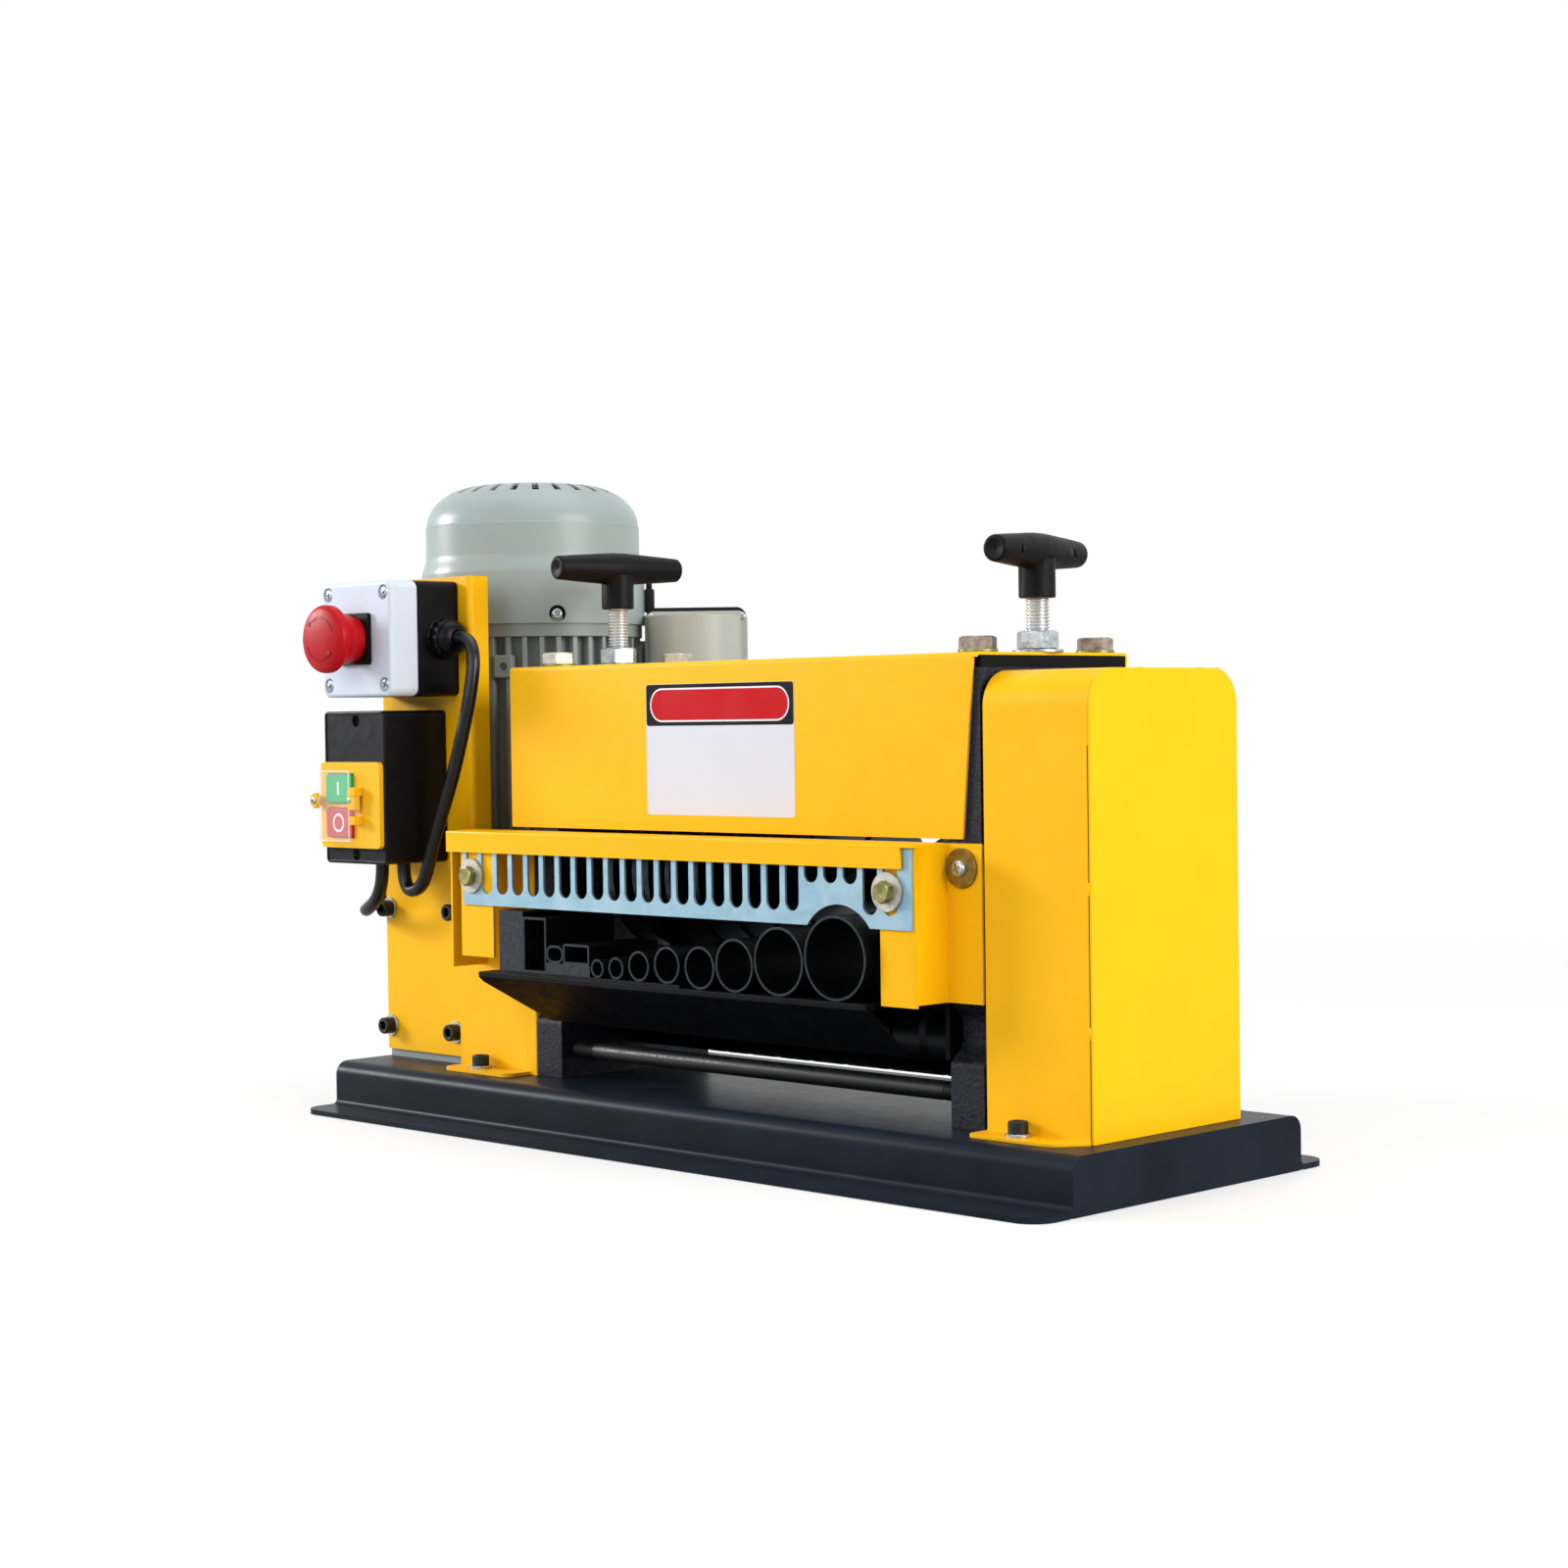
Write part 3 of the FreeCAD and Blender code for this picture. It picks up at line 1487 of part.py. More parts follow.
# Start and stop switch with its clear flap
switch_mid = switch_plate_right + switch_x
switch_left = switch_mid - switch_width / 2
switch_right = switch_mid + switch_width / 2
switch_high = stop_low - switch_gap
switch_low = switch_high - switch_height
switch_front = -plate_front - switch_depth
bezel_front = switch_front - bezel_depth
bezel_z0 = switch_low + bezel_low
bezel_z1 = bezel_z0 + bezel_height
button_x0 = switch_left + button_left
button_x1 = button_x0 + button_width
stop_button_z0 = bezel_z0 + button_low
start_button_z0 = stop_button_z0 + button_height + button_space
button_front = bezel_front - button_proud
button_back = button_front + button_depth
flap_back = button_front - flap_gap
flap_front = flap_back - flap_sheet
flap_x0 = button_x0 - flap_margin - button_gap
flap_x1 = button_x1 + flap_margin + button_gap
flap_z0 = stop_button_z0 - flap_margin - button_gap
flap_z1 = start_button_z0 + button_height + flap_margin + button_gap
flap_mid = (flap_z0 + flap_z1) / 2
pin_x = flap_x1 + flap_ear
pin_y = bezel_front - flap_pin_stand


def button_room(z0):
    return block(button_x0 - button_gap, button_x1 + button_gap, bezel_front - past,
                 button_back + button_travel + past, z0 - button_gap, z0 + button_height + button_gap)


def make_switch_box():
    shell = prism(rounded_square(switch_left, switch_right, switch_low, switch_high, switch_corner), "y",
                  switch_front, -plate_front)
    return shell.cut(button_room(start_button_z0)).cut(button_room(stop_button_z0))


def make_switch_bezel():
    sides = rounded_square(switch_left, switch_right - bezel_right_inset, bezel_z0, bezel_z1, switch_corner)
    frame = prism(sides, "y", bezel_front, switch_front)
    frame = frame.cut(button_room(start_button_z0)).cut(button_room(stop_button_z0))
    half = flap_ear_height / 2
    ears = []
    for low in (flap_mid - half - flap_ear_width, flap_mid + half):
        high = low + flap_ear_width
        ear = block(pin_x - flap_ear_half, pin_x + flap_ear_half, pin_y - flap_ear_half, bezel_front, low, high)
        ears.append(ear.cut(rod(flap_pin_radius + running_gap, "z", pin_x, pin_y, low - past, high + past)))
    return joined(frame, *ears)


def make_switch_flap():
    sheet = block(flap_x0, flap_x1, flap_front, flap_back, flap_z0, flap_z1)
    half = flap_ear_height / 2 - flap_ear_gap
    arm = block(flap_x1 - flap_margin, pin_x, flap_front, flap_back, flap_mid - half, flap_mid + half)
    knuckle = rod(flap_knuckle, "z", pin_x, pin_y, flap_mid - half, flap_mid + half)
    reach = flap_ear_height / 2 + flap_ear_width
    pin = rod(flap_pin_radius, "z", pin_x, pin_y, flap_mid - reach, flap_mid + reach)
    handle = block(flap_x0 - flap_reach, flap_x0, flap_front, flap_back,
                   flap_mid - flap_tab_half, flap_mid + flap_tab_half)
    return joined(sheet, arm, knuckle, pin, handle)


def push_button(z0):
    sides = rounded_square(button_x0, button_x1, z0, z0 + button_height, button_corner)
    return prism(sides, "y", button_front, button_back)


# Gear cover
def cover_outline(half, top, corner):
    return [(-half, base_top), (half, base_top), (half, top, corner), (-half, top, corner)]


def make_gear_cover():
    top = gear_cover_top
    right = gear_cover_right - gear_sheet
    band = prism(cover_outline(gear_cover_half, top, gear_cover_corner), "x", gear_cover_left, right)
    inside = prism(
        cover_outline(gear_cover_half - gear_sheet, top - gear_sheet, gear_cover_corner - gear_sheet),
        "x", gear_cover_left - past, right + past,
    )
    inside = inside.fuse(block(gear_cover_left - past, right + past, -gear_cover_half + gear_sheet,
                               gear_cover_half - gear_sheet, base_top - past, base_top + past))
    band = band.cut(inside)
    feet = []
    for side in (-1, 1):
        near = side * (gear_cover_half - gear_sheet)
        far = side * (gear_cover_half + gear_cover_foot)
        corners = [
            (gear_cover_left, near), (gear_cover_left, far, gear_foot_corner),
            (right - gear_cover_foot_inset, far, gear_foot_round),
            (right, near + side * gear_sheet), (right, near),
        ]
        feet.append(prism(corners, "z", base_top, base_top + gear_sheet))
    cover = joined(band, *feet)
    for side in (-1, 1):
        cover = cover.cut(screw_hole("z", gear_foot_x, side * gear_foot_y, base_top - past,
                                     base_top + gear_sheet + past))
    return cover


def make_gear_cover_end():
    sides = cover_outline(gear_cover_half, gear_cover_top, gear_cover_corner)
    return prism(sides, "x", gear_cover_right - gear_sheet, gear_cover_right)


# T-handles on their studs
def handle_level(drop):
    return cover_over + handle_clearance - drop


def stud_top(drop):
    return handle_level(drop) + handle_rise - handle_stud_drop


def make_adjusting_screw(x, drop):
    foot_low = keeper_low - foot_height - running_gap
    return turned(
        [
            (0, foot_low), (foot_radius, foot_low), (foot_radius, foot_low + foot_height),
            (stud_radius, foot_low + foot_height), (stud_radius, stud_top(drop)),
            (0, stud_top(drop)),
        ],
        "z", x, 0,
    )


def make_handle(x, drop, turn):
    low = handle_level(drop)
    axis_z = low + handle_rise
    half = handle_length / 2
    middle = handle_middle_length / 2
    bevel = handle_end_chamfer
    bar = turned(
        [
            (0, -half), (handle_end_radius - bevel, -half), (handle_end_radius, bevel - half),
            (handle_end_radius, handle_end_straight - half), (handle_middle_radius, -middle),
            (handle_middle_radius, middle), (handle_end_radius, half - handle_end_straight),
            (handle_end_radius, half - bevel), (handle_end_radius - bevel, half), (0, half),
        ],
        "y", x, axis_z,
    )
    stem = turned(
        [
            (0, low), (handle_stem_radius - handle_stem_chamfer, low),
            (handle_stem_radius, low + handle_stem_chamfer),
            (handle_stem_radius, axis_z), (0, axis_z),
        ],
        "z", x, 0,
    )
    bar.rotate(vector(x, 0, 0), unit["z"], turn)
    handle = joined(stem, bar)
    return handle.cut(rod(stud_radius, "z", x, 0, low - past, stud_top(drop)))


# Leads: straight runs joined by tangent arcs, as large as the two runs allow
def lead(route, name):
    points = [vector(*point) for point in route]
    edges = []
    radii = []
    start = points[0]
    for index in range(1, len(points) - 1):
        point = points[index]
        back = points[index - 1] - point
        ahead = points[index + 1] - point
        turn = math.pi - back.getAngle(ahead)
        radius = 0.45 * min(back.Length, ahead.Length) / math.tan(turn / 2)
        cut = radius * math.tan(turn / 2)
        back = back.normalize()
        ahead = ahead.normalize()
        inward = (back + ahead).normalize()
        centre = point + inward * (radius / math.cos(turn / 2))
        first = point + back * cut
        last = point + ahead * cut
        edges.append(Part.LineSegment(start, first).toShape())
        edges.append(Part.Arc(first, centre - inward * radius, last).toShape())
        start = last
        radii.append(round(radius, 1))
    edges.append(Part.LineSegment(start, points[-1]).toShape())
    path = Part.Wire(edges)
    along = (points[1] - points[0]).normalize()
    side = along.cross(unit["y"] if abs(along.y) < 0.9 else unit["z"]).normalize()
    other = along.cross(side)
    ring = []
    for index in range(lead_sides):
        angle = 2 * math.pi * (index + 0.5) / lead_sides
        across = side * math.cos(angle) + other * math.sin(angle)
        ring.append(points[0] + across * lead_radius)
    ring.append(ring[0])
    tube_shape = path.makePipeShell([Part.makePolygon(ring)], True, False)
    section = lead_sides / 2 * lead_radius ** 2 * math.sin(2 * math.pi / lead_sides)
    share = tube_shape.Volume / (section * path.Length)
    print(name, "length", round(path.Length, 1), "radii", radii, "volume share", round(share, 4))
    return tube_shape


# Every piece, saved under its name
os.makedirs("parts", exist_ok=True)
save("base", *make_base())
save("side_frame_left", make_side_frame_left())
save("side_frame_right", make_side_frame_right())
save("tie_rod", make_tie_rod())
save("top_plate", make_top_plate())
save("top_cover", make_top_cover())
save("top_bolts", *make_top_bolts())
save("adjusting_nuts", *make_adjusting_nuts())
save("base_bolts", *make_base_bolts())
save("guard_hood", make_guard_hood())
save("comb_plate", make_comb_plate())
save("guard_screws", *make_guard_screws())
save("guide_tray", make_guide_tray())
save("guide_flat_channels", *make_flat_channels())
round_tubes = [tube(x, z, half) for x, z, half in guides]
save("guide_tubes_small", *round_tubes[:len(small_guides)])
save("guide_tubes_medium", *round_tubes[len(small_guides):-len(large_guides)])
save("guide_tubes_large", *round_tubes[-len(large_guides):])
save("shaft_bearings", bearing(left_x, feed_z), bearing(right_x, feed_z))
save("bearing_block_left", make_bearing_block(left_inner, left_outer))
save("bearing_block_right", make_bearing_block(right_inner, right_outer))
save("cutter_bearings", bearing(left_x, cutter_z), bearing(right_x, cutter_z))
save("cutter_shaft", make_cutter_shaft())
blades, spacers = make_blades_and_spacers()
save("blades", *blades)
save("blade_spacers", *spacers)
save("cutter_gear", gear(cutter_teeth, cutter_z, 180 / cutter_teeth * (1 + cutter_teeth % 2)))
save("feed_shaft", make_feed_shaft())
save("feed_rollers", *make_feed_rollers())
save("feed_gear", gear(feed_teeth, feed_z, 0))
save("worm_wheel", make_worm_wheel())
save("worm", make_worm())
save("motor_rotor", make_motor_rotor())
save("motor_fan", make_motor_fan())
save("reducer_housing", make_reducer_housing())
save("motor_flange", make_motor_flange())
save("motor_body", make_motor_body())
save("motor_cowl", make_motor_cowl())
save("junction_box", make_junction_box())
save("junction_lid", make_junction_lid())
save("switch_plate", make_switch_plate())
save("front_bracket", make_front_bracket())
save("cap_screws", *make_cap_screws())
save("estop_box", make_estop_box())
save("estop_cover", make_estop_cover())
save("estop_bezel", make_estop_bezel())
save("estop_stem", make_estop_stem())
save("estop_button", make_estop_button())
save("cable_gland", make_cable_gland())
save("switch_box", make_switch_box())
save("switch_bezel", make_switch_bezel())
save("switch_flap", make_switch_flap())
save("start_button", push_button(start_button_z0))
save("stop_button", push_button(stop_button_z0))
save("gear_cover", make_gear_cover())
save("gear_cover_end", make_gear_cover_end())
save("adjusting_screw_left", make_adjusting_screw(left_x, 0))
save("t_handle_left", make_handle(left_x, 0, left_handle_turn))
save("adjusting_screw_right", make_adjusting_screw(right_x, right_handle_drop))
save("t_handle_right", make_handle(right_x, right_handle_drop, right_handle_turn))
save("estop_lead", lead(stop_lead_route, "estop_lead"))
save("motor_lead", lead(motor_lead_route, "motor_lead"))
print(len(made), "pieces, origin moved by", round(to_origin.x, 2))
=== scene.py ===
import json
import math
import bmesh
import bpy
from mathutils import Matrix, Vector


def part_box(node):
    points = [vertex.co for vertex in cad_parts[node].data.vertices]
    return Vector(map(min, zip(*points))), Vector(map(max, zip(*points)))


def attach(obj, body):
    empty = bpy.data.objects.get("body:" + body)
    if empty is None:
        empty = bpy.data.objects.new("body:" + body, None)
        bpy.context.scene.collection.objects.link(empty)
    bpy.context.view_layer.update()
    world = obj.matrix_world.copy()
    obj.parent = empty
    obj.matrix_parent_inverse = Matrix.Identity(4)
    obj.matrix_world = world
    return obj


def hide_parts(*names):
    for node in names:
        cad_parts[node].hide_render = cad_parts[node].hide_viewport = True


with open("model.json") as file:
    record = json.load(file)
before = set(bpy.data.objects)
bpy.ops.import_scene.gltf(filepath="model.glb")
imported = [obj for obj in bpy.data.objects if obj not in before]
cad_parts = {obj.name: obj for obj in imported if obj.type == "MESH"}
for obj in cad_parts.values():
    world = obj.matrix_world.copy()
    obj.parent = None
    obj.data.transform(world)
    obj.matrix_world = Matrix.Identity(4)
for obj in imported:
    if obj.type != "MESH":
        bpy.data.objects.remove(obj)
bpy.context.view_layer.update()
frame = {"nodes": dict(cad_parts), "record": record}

# Wire stripping machine on a bench: sheet steel in yellow powder coat, black castings, grey motor.
# Millimetres become metres through mm. X runs along the base, the operator stands at -Y.
mm = 0.001
baseMiddle = 16.75 * mm            # from the frame's origin to the middle of the base
up = Vector((0, 0, 1))
front = Vector((0, -1, 0))
right = Vector((1, 0, 0))
body = {node: name for name, nodes in frame["record"]["behaviour"]["bodies"].items() for node in nodes}
slots = {entry["node"]: entry["material_slot"] for entry in frame["record"]["subparts"]}


# Colour and nodes
def hexColour(code):
    # sRGB hex to linear light
    channels = [int(code[i:i + 2], 16) / 255 for i in (1, 3, 5)]
    return tuple(c / 12.92 if c <= 0.04045 else ((c + 0.055) / 1.055) ** 2.4 for c in channels) + (1.0,)


def addNode(tree, kind, settings=None, **inputs):
    # an input given as a socket is linked, anything else is set
    node = tree.nodes.new(kind)
    for key, value in (settings or {}).items():
        setattr(node, key, value)
    for key, value in inputs.items():
        numbered = key[0] == "i" and key[1:].isdigit()
        socket = node.inputs[int(key[1:]) if numbered else key.replace("_", " ")]
        if isinstance(value, bpy.types.NodeSocket):
            tree.links.new(value, socket)
        else:
            socket.default_value = value
    return node


def grain(tree, place, size, detail=2.0, roughness=0.5):
    # noise whose lumps are about size millimetres across
    return addNode(tree, "ShaderNodeTexNoise", Vector=place, Scale=1 / (size * mm), Detail=detail,
                   Roughness=roughness).outputs["Fac"]


def spread(tree, value, low, high, start=0.3, end=0.7):
    # a value between start and end becomes one between low and high
    return addNode(tree, "ShaderNodeMapRange", i0=value, i1=start, i2=end, i3=low, i4=high).outputs[0]


def blendColours(tree, factor, first, second):
    mix = addNode(tree, "ShaderNodeMix", {"data_type": "RGBA"}, i0=factor)
    for index, colour in ((6, first), (7, second)):
        if isinstance(colour, str):
            mix.inputs[index].default_value = hexColour(colour)
        else:
            tree.links.new(colour, mix.inputs[index])
    return mix.outputs[2]


def dent(tree, shader, height, distance, strength=1.0, under=None):
    # relief of the given depth in millimetres
    bump = addNode(tree, "ShaderNodeBump", Height=height, Distance=distance * mm, Strength=strength)
    if under is not None:
        tree.links.new(under, bump.inputs["Normal"])
    tree.links.new(bump.outputs[0], shader.inputs["Normal"])
    return bump.outputs[0]


def link(tree, value, shader, name):
    tree.links.new(value, shader.inputs[name])


# Finishes
def startMaterial(name, colour, roughness, metallic=0.0, tone=None, gloss=None, relief=None, **more):
    # each pattern starts with its grain in millimetres and its detail; then two colours, the least and
    # greatest roughness, or a depth in millimetres
    material = bpy.data.materials.new(name)
    material.use_nodes = True
    tree = material.node_tree
    shader = tree.nodes["Principled BSDF"]
    shader.inputs["Base Color"].default_value = hexColour(colour)
    shader.inputs["Roughness"].default_value = roughness
    shader.inputs["Metallic"].default_value = metallic
    for key, value in more.items():
        shader.inputs[key.replace("_", " ")].default_value = value
    place = addNode(tree, "ShaderNodeTexCoord").outputs["Object"]
    if tone:
        size, detail, first, second = tone
        link(tree, blendColours(tree, spread(tree, grain(tree, place, size, detail), 0, 1), first, second), shader,
             "Base Color")
    if gloss:
        size, detail, low, high = gloss
        link(tree, spread(tree, grain(tree, place, size, detail), low, high), shader, "Roughness")
    if relief:
        size, detail, depth = relief
        dent(tree, shader, grain(tree, place, size, detail), depth)
    return material, tree, shader, place


def coat(*looks, **more):
    # a finish that needs nothing beyond those patterns
    return startMaterial(*looks, **more)[0]


def yellowPowderCoat():
    # polyester powder on folded steel sheet: soft orange peel, even colour, half gloss
    return coat("yellowPowderCoat", "#fcbe06", 0.38, tone=(40, 2, "#fcbe06", "#faba05"), gloss=(9, 4, 0.3, 0.42),
                relief=(2.6, 1, 0.012), Specular_IOR_Level=0.16)


def blueBlackEnamel():
    # half gloss stoving enamel on the folded base: a soft streak of light along each bend, faint orange peel
    return coat("blueBlackEnamel", "#1a212b", 0.34, tone=(60, 3, "#161c25", "#1e2631"), gloss=(8, 3, 0.32, 0.37),
                relief=(3.2, 1, 0.006), Specular_IOR_Level=0.07)


def paintedCasting():
    # sand cast iron under black brush paint: pitted skin, dull with shiny high spots
    material, tree, shader, place = startMaterial("paintedCasting", "#101118", 0.5, gloss=(5, 3, 0.34, 0.6),
                                                  Specular_IOR_Level=0.18)
    pits = grain(tree, place, 1.8, 6, 0.65)
    link(tree, blendColours(tree, spread(tree, pits, 0, 1, 0.42, 0.58), "#08080c", "#232531"), shader, "Base Color")
    waves = dent(tree, shader, grain(tree, place, 7, 2), 0.5, 0.6)
    dent(tree, shader, pits, 0.45, 1.0, waves)
    return material


def blackSheetPaint(name="blackSheetPaint", worn=None):
    # thin black paint on sheet and tube, rubbed grey on the cut ends where wires slide in
    material, tree, shader, place = startMaterial(name, "#070709", 0.45, gloss=(6, 4, 0.34, 0.55),
                                                  relief=(2.2, 3, 0.03), Specular_IOR_Level=0.08)
    tone = blendColours(tree, spread(tree, grain(tree, place, 14, 4), 0, 1), "#050507", "#0b0c0f")
    if worn is not None:
        depth = addNode(tree, "ShaderNodeSeparateXYZ", i0=place).outputs["Y"]
        rim = spread(tree, depth, 1, 0, worn + 0.15 * mm, worn + 0.45 * mm)
        rub = spread(tree, grain(tree, place, 3, 5), 0.5, 1.0)
        mask = addNode(tree, "ShaderNodeMath", {"operation": "MULTIPLY"}, i0=rim, i1=rub).outputs[0]
        tone = blendColours(tree, mask, tone, "#40424a")
    link(tree, tone, shader, "Base Color")
    return material


def blueZinc():
    # zinc plate with blue passivation on laser cut sheet: pale blue, satin, clouded
    material, tree, shader, place = startMaterial("blueZinc", "#93b9ca", 0.4, 0.5, gloss=(5, 5, 0.34, 0.5),
                                                  relief=(1.2, 4, 0.012))
    cloud = spread(tree, grain(tree, place, 26, 4), 0, 1, 0.35, 0.65)
    tone = blendColours(tree, cloud, "#86aec1", "#9ebccb")
    fleck = spread(tree, grain(tree, place, 3, 5), 0, 0.45, 0.55, 0.75)
    link(tree, blendColours(tree, fleck, tone, "#b2c0bf"), shader, "Base Color")
    return material


def platedSteel(name, pale, dark, roughness=0.3, metallic=0.9):
    # barrel plated fasteners: bright zinc, yellow chromate or black oxide, scuffed in handling
    return coat(name, pale, roughness, metallic, (4, 5, pale, dark), (1.5, 4, roughness - 0.08, roughness + 0.14),
                (0.8, 3, 0.02))


def cutThread():
    # zinc plated rod with a cut thread: the thread itself breaks up the shine, so the skin stays smooth
    return coat("cutThreadZinc", "#c6cbce", 0.3, 0.85, gloss=(6, 3, 0.24, 0.38))


def turnedSteel(name, colour, ringSize=0.5, depth=0.006, roughness=0.26):
    # lathe turned bar: fine rings along X that stretch the highlight
    material, tree, shader, place = startMaterial(name, colour, roughness, 1.0)
    along = addNode(tree, "ShaderNodeMapping", Vector=place, Scale=(1 / (ringSize * mm), 0, 0)).outputs[0]
    rings = addNode(tree, "ShaderNodeTexNoise", Vector=along, Scale=1.0, Detail=3).outputs["Fac"]
    link(tree, spread(tree, rings, roughness - 0.06, roughness + 0.1), shader, "Roughness")
    dent(tree, shader, rings, depth)
    return material


def motorEnamel(name="motorEnamel", colour="#9aa7a5", cast=False):
    # grey motor enamel: smooth on the pressed cowl, over a grainy skin on the die cast body
    relief = (1.4, 4, 0.09) if cast else (3.0, 4, 0.02)
    material, tree, shader, place = startMaterial(name, colour, 0.34, gloss=(10, 4, 0.28, 0.42), relief=relief,
                                                  Specular_IOR_Level=0.3)
    shade = addNode(tree, "ShaderNodeHueSaturation", Color=hexColour(colour), Value=0.94).outputs[0]
    link(tree, blendColours(tree, spread(tree, grain(tree, place, 30, 4), 0, 1), shade, colour), shader, "Base Color")
    return material


def mouldedPlastic(name, colour, roughness=0.35, spark=0.02, shine=0.2):
    # injection moulded plastic: even colour, and where spark is set the fine bite of an eroded mould
    return coat(name, colour, roughness, gloss=(6, 3, roughness - 0.05, roughness + 0.08),
                relief=(0.6, 2, spark) if spark else None, Specular_IOR_Level=shine)


def printedVinyl(name, colour, shine=0.25):
    # self adhesive film with a satin overlay: flat colour, slightly soft shine
    return coat(name, colour, 0.35, gloss=(18, 3, 0.3, 0.42), Specular_IOR_Level=shine)


def clearVinyl(name="clearVinyl", opacity=0.1):
    # soft clear cover over the two buttons: see-through, a little hazy, bright at its edges
    material = coat(name, "#f4f7f4", 0.1, relief=(9, 2, 0.12), Alpha=opacity, IOR=1.5, Specular_IOR_Level=0.4)
    material.surface_render_method = "BLENDED"
    return material


def cableSheath():
    # extruded PVC sheath: satin black with faint drawing lines
    return coat("cableSheath", "#0d0d10", 0.3, gloss=(8, 3, 0.25, 0.4), relief=(1.5, 3, 0.02),
                Specular_IOR_Level=0.35)


finish = {
    "yellow": yellowPowderCoat(),
    "base": blueBlackEnamel(),
    "casting": paintedCasting(),
    "sheet": blackSheetPaint(),
    "guides": blackSheetPaint("wornGuidePaint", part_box("guide_tubes_large")[0].y),
    "comb": blueZinc(),
    "zinc": platedSteel("brightZincPlate", "#c3c9cd", "#9aa3a8", 0.26),
    "yellowZinc": platedSteel("yellowChromate", "#9f9a66", "#736f40", 0.34),
    "paleZinc": platedSteel("dullZincPlate", "#c6c3b8", "#a39f93", 0.42, 0.7),
    "brownZinc": platedSteel("agedChromate", "#94877b", "#63584e", 0.36),
    "goldZinc": platedSteel("goldChromate", "#9a8846", "#6d5d2c", 0.36),
    "thread": cutThread(),
    "oxide": platedSteel("blackOxide", "#101012", "#09090a", 0.42, 0.2),
    "shaft": turnedSteel("turnedShaft", "#85878b"),
    # near black turned steel on the cutter shaft, spacers and feed rollers inside the frame: painted shade for the
    # dark inside of the machine
    "spacer": turnedSteel("spacerSteelPaintedShade", "#2c2d31", 0.5, 0.006, 0.36),
    "gears": turnedSteel("hobbedSteel", "#626468", 0.3, 0.01, 0.34),
    # the blades are darker than bright ground steel: painted shade inside the frame
    "blade": turnedSteel("groundBlade", "#54565b", 0.2, 0.003, 0.24),
    "bronze": turnedSteel("castBronze", "#a8773a", 0.4, 0.01, 0.35),
    "motor": motorEnamel(),
    "motorCast": motorEnamel("castMotorEnamel", "#8f9897", True),
    "boxGrey": motorEnamel("terminalBoxEnamel", "#b2b5ad"),
    "black": mouldedPlastic("blackAbs", "#0a0a0d", 0.34, shine=0.12),
    "switchBlack": mouldedPlastic("switchAbs", "#0f1014", 0.36, shine=0.14),
    "phenolic": mouldedPlastic("blackPhenolic", "#08080c", 0.46, shine=0.12),
    "white": mouldedPlastic("whiteAbs", "#cdd8e6", 0.32),
    "red": mouldedPlastic("redNylon", "#b00e19", 0.38, 0.0, 0.12),
    # darker red for the turn arrows: painted shade in place of the shading of arrows moulded in the head's own red
    "arrowShadeRed": mouldedPlastic("redArrowPaintedShade", "#860b14", 0.4, 0.0),
    "redKey": mouldedPlastic("redKeyNylon", "#cf3a48", 0.3, 0.01),
    "green": mouldedPlastic("greenNylon", "#00b874", 0.34, 0.0),
    "keyYellow": mouldedPlastic("yellowNylon", "#f3ba1c", 0.32, 0.01),
    "mark": mouldedPlastic("whiteMarkInk", "#f0f0f0", 0.4, 0.0),
    "clear": clearVinyl(),
    "clearEdge": clearVinyl("clearVinylEdge", 0.4),
    "labelPale": printedVinyl("paleFilm", "#d9dbe6"),
    "labelDark": printedVinyl("blackInk", "#131317", 0.1),
    "labelRed": printedVinyl("redInk", "#c40c16", 0.12),
    "labelWhite": printedVinyl("whiteInk", "#eef0f4"),
    "sheath": cableSheath(),
    "rubber": mouldedPlastic("blackRubber", "#0e0e10", 0.55, 0.03),
    # near black that stands in for shade: painted shade on the floors of holes and wells and in the gear cover seam
    "dark": mouldedPlastic("shadowedHollow", "#050505", 0.8, 0.0),
}
print("finishes:", len(finish))


# Mesh helpers
def at(x, y, z):
    # millimetres from the middle of the base
    return Vector((x * mm + baseMiddle, y * mm, z * mm))


def shadeSmooth(data, angle):
    for face in data.polygons:
        face.use_smooth = True
    data.set_sharp_from_angle(angle=math.radians(angle))


def joinedUp(mesh, name, material, smoothAngle=32):
    # a bmesh becomes an object that shades smooth up to an angle
    data = bpy.data.meshes.new(name)
    mesh.to_mesh(data)
    mesh.free()
    piece = bpy.data.objects.new(name, data)
    bpy.context.scene.collection.objects.link(piece)
    data.materials.append(finish[material] if isinstance(material, str) else material)
    shadeSmooth(data, smoothAngle)
    return piece


def settle(piece, bodyName, slotName, *nodes):
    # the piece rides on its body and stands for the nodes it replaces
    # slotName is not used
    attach(piece, bodyName)
    if nodes:
        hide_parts(*nodes)
    return piece


def roundEdges(piece, width, segments=2, angle=30):
    bevel = piece.modifiers.new("edges", "BEVEL")
    bevel.width = width * mm
    bevel.segments = segments
    bevel.limit_method = "ANGLE"
    bevel.angle_limit = math.radians(angle)
    bevel.harden_normals = True
    return piece


def weldedCopy(node):
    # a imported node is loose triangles, so its copy is welded and its flat faces are joined
    mesh = bmesh.new()
    mesh.from_mesh(frame["nodes"][node].data)
    bmesh.ops.remove_doubles(mesh, verts=mesh.verts, dist=0.002 * mm)
    bmesh.ops.dissolve_limit(mesh, angle_limit=math.radians(0.6), verts=mesh.verts, edges=mesh.edges)
    for face in mesh.faces:
        face.material_index = 0
    return mesh


def bevelled(mesh, edges, width, segments, clamp=False):
    bmesh.ops.bevel(mesh, geom=edges, offset=width * mm, offset_type="OFFSET", affect="EDGES", segments=segments,
                    profile=0.5, material=-1, clamp_overlap=clamp)


def faceWidth(face):
    # about the width of a long thin face, in metres
    return 2 * face.calc_area() / max(face.calc_perimeter(), mm)


